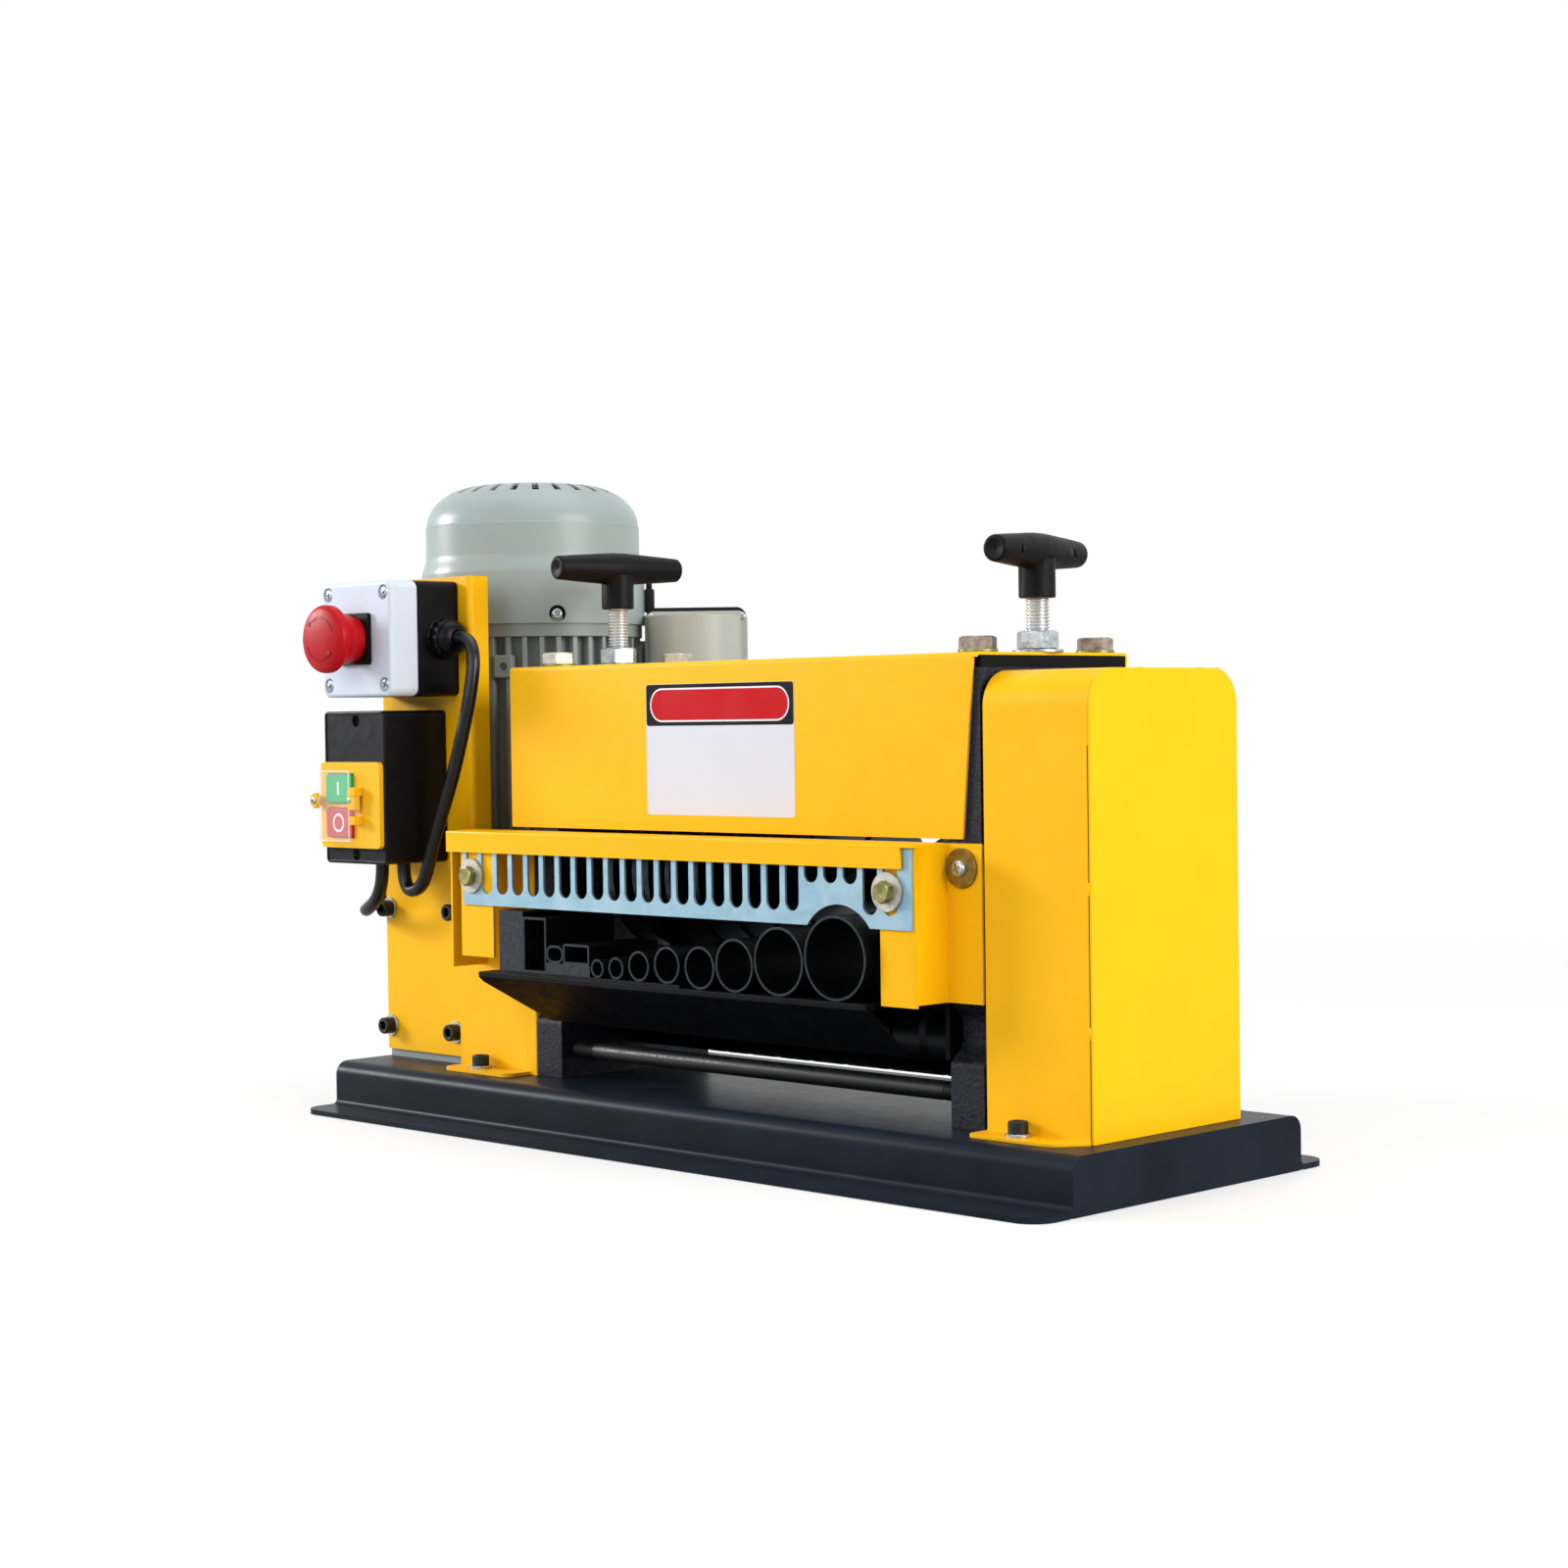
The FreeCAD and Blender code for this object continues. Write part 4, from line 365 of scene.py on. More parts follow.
def roundBends(mesh, radius, sheet, segments=4):
    # folds of a sheet: the edges between two broad faces, inner radius on the hollow side
    for hollow, size in ((False, radius + sheet), (True, radius)):
        folds = [
            edge for edge in mesh.edges
            if len(edge.link_faces) == 2 and min(faceWidth(face) for face in edge.link_faces) > 1.6 * sheet * mm
            and math.radians(60) < abs(edge.calc_face_angle_signed()) < math.radians(120)
            and (edge.calc_face_angle_signed() < 0) == hollow and edge.calc_length() > 8 * mm
        ]
        if folds and size > 0:
            bevelled(mesh, folds, size, segments, True)


def dress(node, material, edge=0.3, segments=2, smoothAngle=32, bend=None):
    # the node's own shape with rounded edges and its real finish
    mesh = weldedCopy(node)
    if bend:
        roundBends(mesh, *bend)
    piece = joinedUp(mesh, "dressed_" + node, material, smoothAngle)
    if edge:
        roundEdges(piece, edge, segments)
    settle(piece, body[node], slots[node], node)


def separateSolids(node):
    # low corner, high corner and middle of each solid of a node, from left to right and front to back
    mesh = weldedCopy(node)
    waiting, found = set(mesh.verts), []
    while waiting:
        group, edge = [], [waiting.pop()]
        while edge:
            vert = edge.pop()
            group.append(vert.co.copy())
            near = {other for link in vert.link_edges for other in link.verts} & waiting
            waiting -= near
            edge.extend(near)
        low, high = Vector(map(min, *group)), Vector(map(max, *group))
        found.append((low, high, (low + high) / 2))
    mesh.free()
    return sorted(found, key=lambda ends: (round(ends[0].x, 4), round(ends[0].y, 4), round(ends[0].z, 4)))


def outwards(angle):
    # level direction at an angle from X, in degrees
    return Vector((math.cos(math.radians(angle)), math.sin(math.radians(angle)), 0))


def turnTo(direction, turn=0.0):
    return direction.to_track_quat("Z", "Y").to_matrix().to_4x4() @ Matrix.Rotation(math.radians(turn), 4, "Z")


def moved(mesh, verts, place, direction=up, turn=0.0):
    bmesh.ops.transform(mesh, matrix=Matrix.Translation(place) @ turnTo(direction, turn), verts=verts)


def added(mesh, before):
    return [vert for vert in mesh.verts if vert not in before]


def placed(mesh, verts, place, direction, turn=0.0):
    # the faces of a new form look outward, and it moves to its place
    faces = list({face for vert in verts for face in vert.link_faces})
    bmesh.ops.recalc_face_normals(mesh, faces=faces)
    moved(mesh, verts, place, direction, turn)


def spun(mesh, profile, place, direction=up, steps=32, ring=False):
    # profile: (radius, along) in millimetres, turned about the direction through place
    before = set(mesh.verts)
    verts = [mesh.verts.new((radius * mm, 0, along * mm)) for radius, along in profile]
    edges = [mesh.edges.new(pair) for pair in zip(verts, verts[1:])]
    if ring:
        edges.append(mesh.edges.new((verts[-1], verts[0])))
    bmesh.ops.spin(mesh, geom=verts + edges, cent=(0, 0, 0), axis=(0, 0, 1), dvec=(0, 0, 0),
                   angle=2 * math.pi, steps=steps, use_merge=True)
    bmesh.ops.remove_doubles(mesh, verts=added(mesh, before), dist=0.0005 * mm)
    placed(mesh, added(mesh, before), place, direction)


def stacked(mesh, rings, place, direction=up, turn=0.0, steps=36, through=False):
    # rings: each gives (radius, along) in millimetres at an angle; drawn up from a circle
    before = set(mesh.verts)
    circle = bmesh.ops.create_circle(mesh, cap_ends=False, radius=1.0, segments=steps)["verts"]
    angles = {vert: math.atan2(vert.co.y, vert.co.x) for vert in circle}
    edges = list({edge for vert in circle for edge in vert.link_edges})
    first = edges
    for index, ring in enumerate(rings):
        if index:
            made = bmesh.ops.extrude_edge_only(mesh, edges=edges)["geom"]
            circle = [item for item in made if isinstance(item, bmesh.types.BMVert)]
            angles = {vert: math.atan2(vert.co.y, vert.co.x) for vert in circle}
            edges = [item for item in made if isinstance(item, bmesh.types.BMEdge)
                     and all(vert in angles for vert in item.verts)]
        for vert in circle:
            radius, along = ring(angles[vert])
            vert.co = (radius * mm * math.cos(angles[vert]), radius * mm * math.sin(angles[vert]), along * mm)
    if through:
        bmesh.ops.bridge_loops(mesh, edges=first + edges)
    else:
        for loop in (first, edges):
            bmesh.ops.edgeloop_fill(mesh, edges=loop)
    placed(mesh, added(mesh, before), place, direction, turn)


def flat(radius, along):
    return lambda angle: (radius, along)


def hexSide(across, along, crown=None):
    # a hexagon; with a crown its corners fall away from that radius at 30 degrees
    def ring(angle):
        radius = across / 2 / math.cos((angle % (math.pi / 3)) - math.pi / 6)
        drop = max(0.0, radius - crown) * math.tan(math.radians(30)) if crown else 0.0
        return radius, along - drop
    return ring


def hexHead(mesh, across, low, high, place, direction=up, turn=0.0):
    crown = 0.47 * across
    stacked(mesh, [hexSide(across, low), hexSide(across, high, crown), flat(crown, high),
                   flat(crown * 0.55, high - 0.15)], place, direction, turn)


def hexNut(mesh, across, low, high, bore, place, direction=up, turn=0.0):
    crown = 0.47 * across
    stacked(mesh, [
        flat(bore, low + 0.8), flat(bore + 0.8, low), flat(crown, low), hexSide(across, low + 0.6),
        hexSide(across, high, crown), flat(crown, high), flat(bore + 0.8, high), flat(bore, high - 0.8),
    ], place, direction, turn, through=True)


def washer(mesh, outer, bore, low, high, place, direction=up, steps=36):
    soft = min(0.25, (high - low) / 3)
    spun(mesh, [(bore, low), (outer - soft, low), (outer, low + soft), (outer, high - soft), (outer - soft, high),
                (bore, high)], place, direction, steps, ring=True)


def socketHead(mesh, radius, low, high, key, place, direction=up, turn=0.0):
    stacked(mesh, [
        flat(radius, low), flat(radius, high - 0.6), flat(radius - 0.5, high), flat(key * 0.62, high),
        hexSide(key, high - 0.4), hexSide(key, high - 3.0),
    ], place, direction, turn)


def crossCutter(mesh, reach, width, low, high, place, direction=up, turn=0.0):
    # a cross shaped plug, cut out of a screw head
    corners = []
    for quarter in range(4):
        for x, y in ((reach, -width), (reach, width), (width, width)):
            angle = quarter * math.pi / 2
            corners.append(mesh.verts.new(((x * math.cos(angle) - y * math.sin(angle)) * mm,
                                           (x * math.sin(angle) + y * math.cos(angle)) * mm, low * mm)))
    face = mesh.faces.new(corners)
    made = bmesh.ops.extrude_face_region(mesh, geom=[face])["geom"]
    top = [item for item in made if isinstance(item, bmesh.types.BMVert)]
    bmesh.ops.translate(mesh, verts=top, vec=(0, 0, (high - low) * mm))
    placed(mesh, corners + top, place, direction, turn)


def panHead(mesh, radius, height, place, direction=up, steps=24, shank=None):
    # a flat screw head with a round rim; a shank is (radius, where it ends) and part of the same outline
    outline = [(0, shank[1]), shank, (shank[0], 0)] if shank else [(0, 0)]
    outline.append((radius, 0))
    for step in range(5):
        angle = math.radians(90 * step / 5)
        outline.append((radius * (0.55 + 0.45 * math.cos(angle)), height * (0.35 + 0.65 * math.sin(angle))))
    spun(mesh, outline + [(0, height)], place, direction, steps)


def crossScrews(name, node, size, seats):
    # pan heads with a cut cross; seats: (place of the seat, direction, turn of the cross and maybe a shank)
    heads, crosses = bmesh.new(), bmesh.new()
    for seat, direction, turn, *shank in seats:
        panHead(heads, size["radius"], size["height"], seat, direction, size["steps"], *shank)
        crossCutter(crosses, *size["cross"], size["floor"], 2 * size["height"], seat, direction, turn)
    carve(extra(heads, name, "zinc", node), crosses)


def cuboid(mesh, low, high, bevel=0.0, segments=3, upright=False):
    # corners in metres; upright rounds only the edges along Z
    low, high = Vector(low), Vector(high)
    before = set(mesh.verts)
    made = bmesh.ops.create_cube(mesh, size=1.0)["verts"]
    bmesh.ops.scale(mesh, vec=high - low, verts=made)
    bmesh.ops.translate(mesh, vec=(low + high) / 2, verts=made)
    if bevel:
        edges = [edge for edge in {edge for vert in made for edge in vert.link_edges}
                 if not upright or abs(edge.verts[0].co.z - edge.verts[1].co.z) > (high.z - low.z) / 2]
        bevelled(mesh, edges, bevel, segments)
    return added(mesh, before)


def turnedCuboid(mesh, low, high, place, angle, bevel=0.0, segments=3):
    # corners in millimetres from a place, turned about Z by an angle in degrees
    verts = cuboid(mesh, [value * mm for value in low], [value * mm for value in high], bevel, segments)
    turn = Matrix.Rotation(math.radians(angle), 4, "Z")
    bmesh.ops.transform(mesh, matrix=Matrix.Translation(place) @ turn, verts=verts)


def roundedTile(mesh, width, height, corner, low, high, place, direction, turn=0.0):
    # a thin plate with round corners, standing on the direction through its middle
    verts = cuboid(mesh, Vector((-width / 2, -height / 2, low)) * mm, Vector((width / 2, height / 2, high)) * mm,
                   corner, 7, upright=True)
    moved(mesh, verts, place, direction, turn)


def frozen(piece, smoothAngle=32):
    # the piece keeps the shape that its modifiers give it
    data = bpy.data.meshes.new_from_object(piece.evaluated_get(bpy.context.evaluated_depsgraph_get()))
    piece.modifiers.clear()
    piece.data = data
    shadeSmooth(data, smoothAngle)
    return piece


def carve(piece, cutterMesh, smoothAngle=32, operation="DIFFERENCE"):
    # takes a closed shape out of a piece, or adds it
    cutter = joinedUp(cutterMesh, "cutter", "dark")
    cut = piece.modifiers.new("carve", "BOOLEAN")
    cut.operation = operation
    cut.solver = "EXACT"
    cut.object = cutter
    frozen(piece, smoothAngle)
    bpy.data.objects.remove(cutter)
    # the broad faces keep their flat shading beside rounded edges
    shade = piece.modifiers.new("shade", "WEIGHTED_NORMAL")
    shade.keep_sharp = True


def rodCutter(mesh, radius, low, high, place, direction=up, steps=28):
    spun(mesh, [(0, low), (radius, low), (radius, high), (0, high)], place, direction, steps)


def extra(mesh, name, material, node, standsForIt=False, smoothAngle=32):
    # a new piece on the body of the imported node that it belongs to
    nodes = [node] if standsForIt else []
    return settle(joinedUp(mesh, name, material, smoothAngle), body[node], slots[node], *nodes)


# Camera at the photograph's viewing angle
photoCamera = {
    "place": (1106.08 * mm + baseMiddle, -1091.98 * mm, 233.30 * mm),
    "yaw": 45.11,
    "pitch": 1.37,
    "roll": -0.78,
    "lens": 64.32,
}


def makeCamera(view):
    camera = bpy.data.objects.new("camera", bpy.data.cameras.new("camera"))
    camera.data.lens = view["lens"]
    camera.data.sensor_width = 36.0
    camera.data.clip_start = 0.05
    camera.data.clip_end = 60.0
    turn = Matrix.Rotation(math.radians(view["yaw"]), 4, "Z")
    turn = turn @ Matrix.Rotation(math.radians(90 - view["pitch"]), 4, "X")
    turn = turn @ Matrix.Rotation(math.radians(view["roll"]), 4, "Z")
    camera.matrix_world = Matrix.Translation(view["place"]) @ turn
    bpy.context.scene.collection.objects.link(camera)
    bpy.context.scene.camera = camera


makeCamera(photoCamera)


# Leads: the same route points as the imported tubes, as one smooth spline each
leadDiameter = 8.0
leadRoutes = {
    "stopLead": {
        "node": "estop_lead",
        "points": [
            (-197, -63, 282.5), (-187, -63, 282.5), (-178, -66, 271), (-178.5, -69, 249),
            (-184, -71, 226), (-191.5, -72, 203), (-201, -73, 181), (-211, -73, 162),
            (-217, -72.5, 146), (-224, -72, 135), (-236, -72, 132), (-241, -72, 140),
            (-241, -72, 149.5),
        ],
        "length": 0.197,
    },
    "motorLead": {
        "node": "motor_lead",
        "points": [
            (-258, -75, 149.5), (-258, -75, 139), (-266, -73, 127), (-280, -70, 120),
            (-295, -61, 118), (-301, -47, 123), (-295, -37, 138), (-282, -36, 150),
            (-262, -37.5, 155), (-236, -38, 157), (-209, -30, 158), (-186, -12, 160),
            (-170, 14, 163), (-164, 45, 169), (-167, 74, 177), (-177, 96, 188),
            (-186, 106, 204), (-186, 106, 222),
        ],
        "length": 0.366,
    },
}


def makeLead(name, route):
    curve = bpy.data.curves.new(name, "CURVE")
    curve.dimensions = "3D"
    curve.bevel_depth = leadDiameter / 2 * mm
    curve.bevel_resolution = 6
    curve.resolution_u = 16
    curve.use_fill_caps = True
    spline = curve.splines.new("NURBS")
    spline.points.add(len(route["points"]) - 1)
    for point, (x, y, z) in zip(spline.points, route["points"]):
        point.co = (x * mm + baseMiddle, y * mm, z * mm, 1.0)
    spline.order_u = 3
    spline.use_endpoint_u = True
    curve.materials.append(finish["sheath"])
    lead = bpy.data.objects.new(name, curve)
    bpy.context.scene.collection.objects.link(lead)
    settle(lead, "root", slots[route["node"]], route["node"])


for leadName, leadRoute in leadRoutes.items():
    makeLead(leadName, leadRoute)
print("leads:", len(leadRoutes))

# Threads, nuts and bolts of the two blade height screws and the top plate
adjuster = {"studRadius": 6.0, "pitch": 1.75, "threadDepth": 1.0, "nutAcross": 19.0, "washer": 13.0,
            "boltAcross": 17.0, "boltHead": 6.4, "boltShank": 4.9, "boltWasher": 10.0, "boltBore": 5.2,
            "washerSheet": 1.6, "threadFrom": 232.0}


def threadRings(low, high, radius, pitch, depth):
    # the outline of a screw thread between two heights
    outline, along = [], low
    while along + pitch <= high:
        outline += [(radius - depth, along), (radius, along + 0.38 * pitch), (radius, along + 0.6 * pitch)]
        along += pitch
    return outline + [(radius - depth, min(along, high))]


def makeStud(node, size):
    low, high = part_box(node)
    top = high.z / mm
    foot = weldedCopy(node)
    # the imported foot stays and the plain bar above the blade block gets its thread
    cut = size["threadFrom"]
    bmesh.ops.bisect_plane(foot, geom=foot.verts[:] + foot.edges[:] + foot.faces[:], plane_co=(0, 0, cut * mm),
                           plane_no=(0, 0, 1), clear_outer=True)
    bmesh.ops.holes_fill(foot, edges=[edge for edge in foot.edges if edge.is_boundary])
    middle = (low + high) / 2
    thread = threadRings(cut, top, size["studRadius"], size["pitch"], size["threadDepth"])
    spun(foot, [(0, cut)] + thread + [(0, top)], (middle.x, 0, 0), up, 28)
    extra(foot, "threaded_" + node, "thread", node, True, smoothAngle=25)


for nodeName in ("adjusting_screw_left", "adjusting_screw_right"):
    makeStud(nodeName, adjuster)

nuts = bmesh.new()
for (low, high, middle), turn in zip(separateSolids("adjusting_nuts"), (8, 24)):
    place = (middle.x, middle.y, low.z)
    washer(nuts, adjuster["washer"], adjuster["studRadius"] + 0.5, 0, adjuster["washerSheet"], place)
    hexNut(nuts, adjuster["nutAcross"], adjuster["washerSheet"], (high.z - low.z) / mm,
           adjuster["studRadius"] + 0.1, place, up, turn)
extra(nuts, "stud_nuts", "zinc", "adjusting_nuts", True)

topHeads = {"zincHeads": bmesh.new(), "agedHeads": bmesh.new()}
topWashers = bmesh.new()
for index, (low, high, middle) in enumerate(separateSolids("top_bolts")):
    headHigh = high.z / mm
    headLow = headHigh - adjuster["boltHead"]
    target = topHeads["agedHeads" if index >= 2 else "zincHeads"]
    place = (middle.x, middle.y, 0)
    hexHead(target, adjuster["boltAcross"], headLow, headHigh, place, up, 11 + 23 * index)
    rodCutter(target, adjuster["boltShank"], low.z / mm, headLow, place)
    washer(topWashers, adjuster["boltWasher"], adjuster["boltBore"], headLow - adjuster["washerSheet"], headLow,
           place)
extra(topHeads["zincHeads"], "top_bolts_left", "paleZinc", "top_bolts", True)
extra(topHeads["agedHeads"], "top_bolts_right", "brownZinc", "top_bolts")
extra(topWashers, "top_bolt_washers", "yellowZinc", "top_bolts")
print("adjusters and top bolts")

# Black socket screws on zinc washers, and the screws of the hood and comb
capScrew = {"radius": 5.0, "height": 6.0, "key": 5.0, "shank": 2.95, "washer": 6.5, "bore": 3.2,
            "washerSheet": 1.6}
heads, washers = bmesh.new(), bmesh.new()
for low, high, middle in separateSolids("cap_screws"):
    size = high - low
    # a screw is as tall as its washer is wide when it lies, and then points to the front or to the left
    lies = abs(size.z - 2 * capScrew["washer"] * mm) < 0.2 * mm
    if lies and abs(size.x - size.z) < 0.3 * mm:
        direction, face = front, Vector((middle.x, low.y, middle.z))
    elif lies:
        direction, face = -right, Vector((low.x, middle.y, middle.z))
    else:
        direction, face = up, Vector((middle.x, middle.y, high.z))
    # face lies on the top of the head, so the heights run down from it
    seat = -capScrew["height"]
    socketHead(heads, capScrew["radius"], seat, 0, capScrew["key"], face, direction, 17)
    rodCutter(heads, capScrew["shank"], -max(size) / mm, seat, face, direction, 20)
    washer(washers, capScrew["washer"], capScrew["bore"], seat - capScrew["washerSheet"], seat, face, direction)
extra(heads, "socket_screws", "oxide", "cap_screws", True)
extra(washers, "socket_screw_washers", "zinc", "cap_screws")

guardScrew = {"washer": 10.0, "across": 10.0, "head": 4.2, "sheet": 1.6, "shank": 2.95, "bore": 3.3,
              "onFlange": (0, 3)}
flangeScrew = {"radius": 4.3, "height": 3.0, "floor": 1.6, "cross": (2.5, 0.5), "steps": 28}
combHeads, bigWashers, rightWashers = bmesh.new(), bmesh.new(), bmesh.new()
flangeSeats = []
for index, (low, high, middle) in enumerate(separateSolids("guard_screws")):
    face = Vector((middle.x, low.y, middle.z))
    length = (high.y - low.y) / mm
    if index in guardScrew["onFlange"]:
        seat, rings = -capScrew["height"], rightWashers
        flangeSeats.append((face + front * seat * mm, front, 20, (guardScrew["shank"], -length - seat)))
    else:
        seat, rings = -guardScrew["head"], bigWashers
        hexHead(combHeads, guardScrew["across"], seat, 0, face, front, 14 + 9 * index)
        rodCutter(combHeads, guardScrew["shank"], -length, seat, face, front, 20)
    washer(rings, guardScrew["washer"], guardScrew["bore"], seat - guardScrew["sheet"], seat, face, front)
extra(combHeads, "comb_screw_heads", "yellowZinc", "guard_screws", True)
extra(bigWashers, "comb_screw_washers", "paleZinc", "guard_screws")
extra(rightWashers, "flange_screw_washers", "goldZinc", "guard_screws")
crossScrews("flange_screw_heads", "guard_screws", flangeScrew, flangeSeats)
print("screws")

# Moulded T-handles: a bar that tapers to dished ends, on a round hub
handles = {"halfLength": 42.8, "endRadius": 6.9, "middleRadius": 9.6, "hubRadius": 9.4, "dish": 4.6,
           "turns": {"t_handle_left": -6.5, "t_handle_right": 11.0},
           "slots": {"t_handle_left": (), "t_handle_right": (-28.0, 26.0)}, "slotDepth": 1.2, "slotHalf": (1.1, 2.0)}


def makeHandle(node, size):
    low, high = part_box(node)
    half, end, thick = size["halfLength"], size["endRadius"], size["middleRadius"]
    # half of the bar: flat end, rounded rim, straight taper that eases over in the middle
    taper = [(0, half), (end - 1.3, half), (end - 0.6, half - 0.25), (end - 0.1, half - 0.9), (end, half - 1.8)]
    taper += [(thick - (thick - end) * along / half - 0.35 * (1 - along / 6) ** 2 * (along < 6), along)
              for along in (30.0, 20.0, 12.0, 6.0, 3.0, 0.0)]
    outline = taper + [(radius, -along) for radius, along in reversed(taper[:-1])]
    place = Vector(((low.x + high.x) / 2, (low.y + high.y) / 2, high.z - thick * mm))
    # the bar runs along Y before its turn
    turn = size["turns"][node]
    along = Matrix.Rotation(math.radians(turn), 3, "Z") @ Vector((0, 1, 0))
    bar = bmesh.new()
    spun(bar, outline, place, along, 64)
    piece = joinedUp(bar, "moulded_" + node, "phenolic", 30)
    hub = bmesh.new()
    hubRadius, drop = size["hubRadius"], (place.z - low.z) / mm
    spun(hub, [(0, -drop), (hubRadius - 0.8, -drop), (hubRadius - 0.2, -drop + 0.3), (hubRadius, -drop + 1),
               (hubRadius, -4), (0, -4)], place, up, 64)
    carve(piece, hub, 30, "UNION")
    cutter = bmesh.new()
    for way in (-1, 1):
        dish = size["dish"]
        spun(cutter, [(0, -1.3), (1.2, -1.25), (1.3, -0.75), (dish - 1.2, -0.5), (dish, 0), (dish, 1), (0, 1)],
             place + along * way * half * mm, along * way, 40)
    for offset in size["slots"][node]:
        radius = thick - (thick - end) * abs(offset) / half
        wide, tall = size["slotHalf"]
        turnedCuboid(cutter, (radius - size["slotDepth"], -wide, -tall), (radius + 5, wide, tall),
                     place + along * offset * mm, turn)
    carve(piece, cutter, 30)
    settle(piece, body[node], slots[node], node)


for nodeName in handles["turns"]:
    makeHandle(nodeName, handles)
print("T-handles")

# Emergency stop: white cover with four sunk screws, red mushroom head with two turn arrows
stopSizes = {"x": -245.0, "z": 282.5, "coverFront": -101.4, "screwSpread": 27.0, "recess": 4.5, "recessDepth": 2.4,
             "headBack": -108.5, "arrowRadius": 12.6, "arrowSweep": 118, "arrowStarts": (20, 200),
             "corner": 5.0, "edge": 2.6, "bore": 13.9,
             "screw": {"radius": 3.7, "height": 2.3, "floor": 1.3, "cross": (2.2, 0.5), "steps": 28}}


def makeStopCover(size):
    low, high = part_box("estop_cover")
    middle = (low + high) / 2
    mesh = bmesh.new()
    roundedTile(mesh, (high.x - low.x) / mm, (high.z - low.z) / mm, size["corner"], 0, (high.y - low.y) / mm,
                (middle.x, high.y, middle.z), front)
    cover = frozen(roundEdges(joinedUp(mesh, "stop_cover_shell", "white", 40), size["edge"], 5, 50), 40)
    bore = bmesh.new()
    rodCutter(bore, size["bore"], -1, (high.y - low.y) / mm + 1, (middle.x, high.y, middle.z), front, 64)
    carve(cover, bore, 40)
    holes, seats = bmesh.new(), []
    reach = size["screwSpread"]
    for index, (way, rise) in enumerate(((-1, -1), (1, -1), (-1, 1), (1, 1))):
        spot = at(size["x"] + way * reach, size["coverFront"], size["z"] + rise * reach)
        rodCutter(holes, size["recess"], -size["recessDepth"], 2.0, spot, front)
        seats.append((spot - front * (size["recessDepth"] + 0.5) * mm, front, 25 + 31 * index))
    carve(cover, holes, 40)
    settle(cover, body["estop_cover"], slots["estop_cover"], "estop_cover")
    crossScrews("stop_cover_screws", "cap_screws", size["screw"], seats)


def makeStopHead(size):
    # (radius, distance out from the back of the neck): socket, neck, flared underside, rim, low dome
    outline = [(13.75, 6.2), (13.75, 0), (14.2, 0), (14.5, 0.4), (14.5, 3.6), (14.7, 5.4), (15.3, 7.0), (16.4, 8.6),
               (17.9, 9.9), (19.3, 10.8), (19.85, 11.6), (20.0, 12.6), (20.0, 14.6), (19.85, 15.7), (19.4, 16.7),
               (18.5, 17.6), (17.0, 18.3), (14.5, 18.95), (11.0, 19.5), (7.0, 19.85), (3.5, 20.0), (0, 20.05)]
    place = at(size["x"], size["headBack"], size["z"])
    mesh = bmesh.new()
    spun(mesh, [(0, 6.2)] + outline, place, front, 72)
    extra(mesh, "mushroom_head", "red", "estop_button", True, smoothAngle=50)
    arrows = bmesh.new()
    ring = size["arrowRadius"]
    for start in size["arrowStarts"]:
        section = [(ring - 0.65, 18.9), (ring + 0.65, 18.75), (ring + 0.45, 19.55), (ring - 0.45, 19.65)]
        verts = [arrows.verts.new((outwards(start) * radius + up * along) * mm) for radius, along in section]
        face = arrows.faces.new(verts)
        bmesh.ops.spin(arrows, geom=[face] + verts + list(face.edges), cent=(0, 0, 0), axis=(0, 0, 1),
                       dvec=(0, 0, 0), angle=math.radians(size["arrowSweep"]), steps=26)
        # the arrow's head: a small wedge at the end of the sweep
        end = start + size["arrowSweep"]
        tip = bmesh.ops.create_cone(arrows, cap_ends=True, segments=3, radius1=2.3 * mm, radius2=2.0 * mm,
                                    depth=0.9 * mm)["verts"]
        bmesh.ops.rotate(arrows, matrix=Matrix.Rotation(math.radians(end + 90), 3, "Z"), verts=tip)
        bmesh.ops.translate(arrows, vec=(outwards(end) * ring + up * 19.2) * mm, verts=tip)
    bmesh.ops.recalc_face_normals(arrows, faces=arrows.faces)
    moved(arrows, arrows.verts[:], place, front)
    # the arrows take a darker red than the head: painted shade
    extra(arrows, "mushroom_arrows", "arrowShadeRed", "estop_button")


makeStopCover(stopSizes)
makeStopHead(stopSizes)

# Cable gland: ribbed nut and domed cap that grips the lead
glandSizes = {"x": -211.0, "y": -63.0, "z": 282.5, "nut": 11.6, "ribs": 14, "cap": 10.4, "bore": 4.2}


def makeGland(size):
    def ribbed(radius, along):
        return lambda angle: (radius + 0.45 * math.cos(size["ribs"] * angle), along)
    mesh = bmesh.new()
    nut, cap, bore = size["nut"], size["cap"], size["bore"]
    stacked(mesh, [
        flat(nut + 0.9, 0), flat(nut + 0.9, 1.1), flat(nut - 0.4, 1.4), ribbed(nut, 1.9), ribbed(nut, 6.2),
        flat(nut - 1.3, 6.8), flat(cap - 0.3, 7.2), flat(cap, 7.8), flat(cap - 0.1, 9.6), flat(cap - 0.9, 11.4),
        flat(cap - 2.3, 12.8), flat(bore + 1.9, 13.7), flat(bore + 0.7, 14.0), flat(bore, 13.6), flat(bore, 5.0),
        flat(bore, 0),
    ], at(size["x"], size["y"], size["z"]), right, steps=112, through=True)
    extra(mesh, "cable_gland_nut", "black", "cable_gland", True, smoothAngle=38)


makeGland(glandSizes)

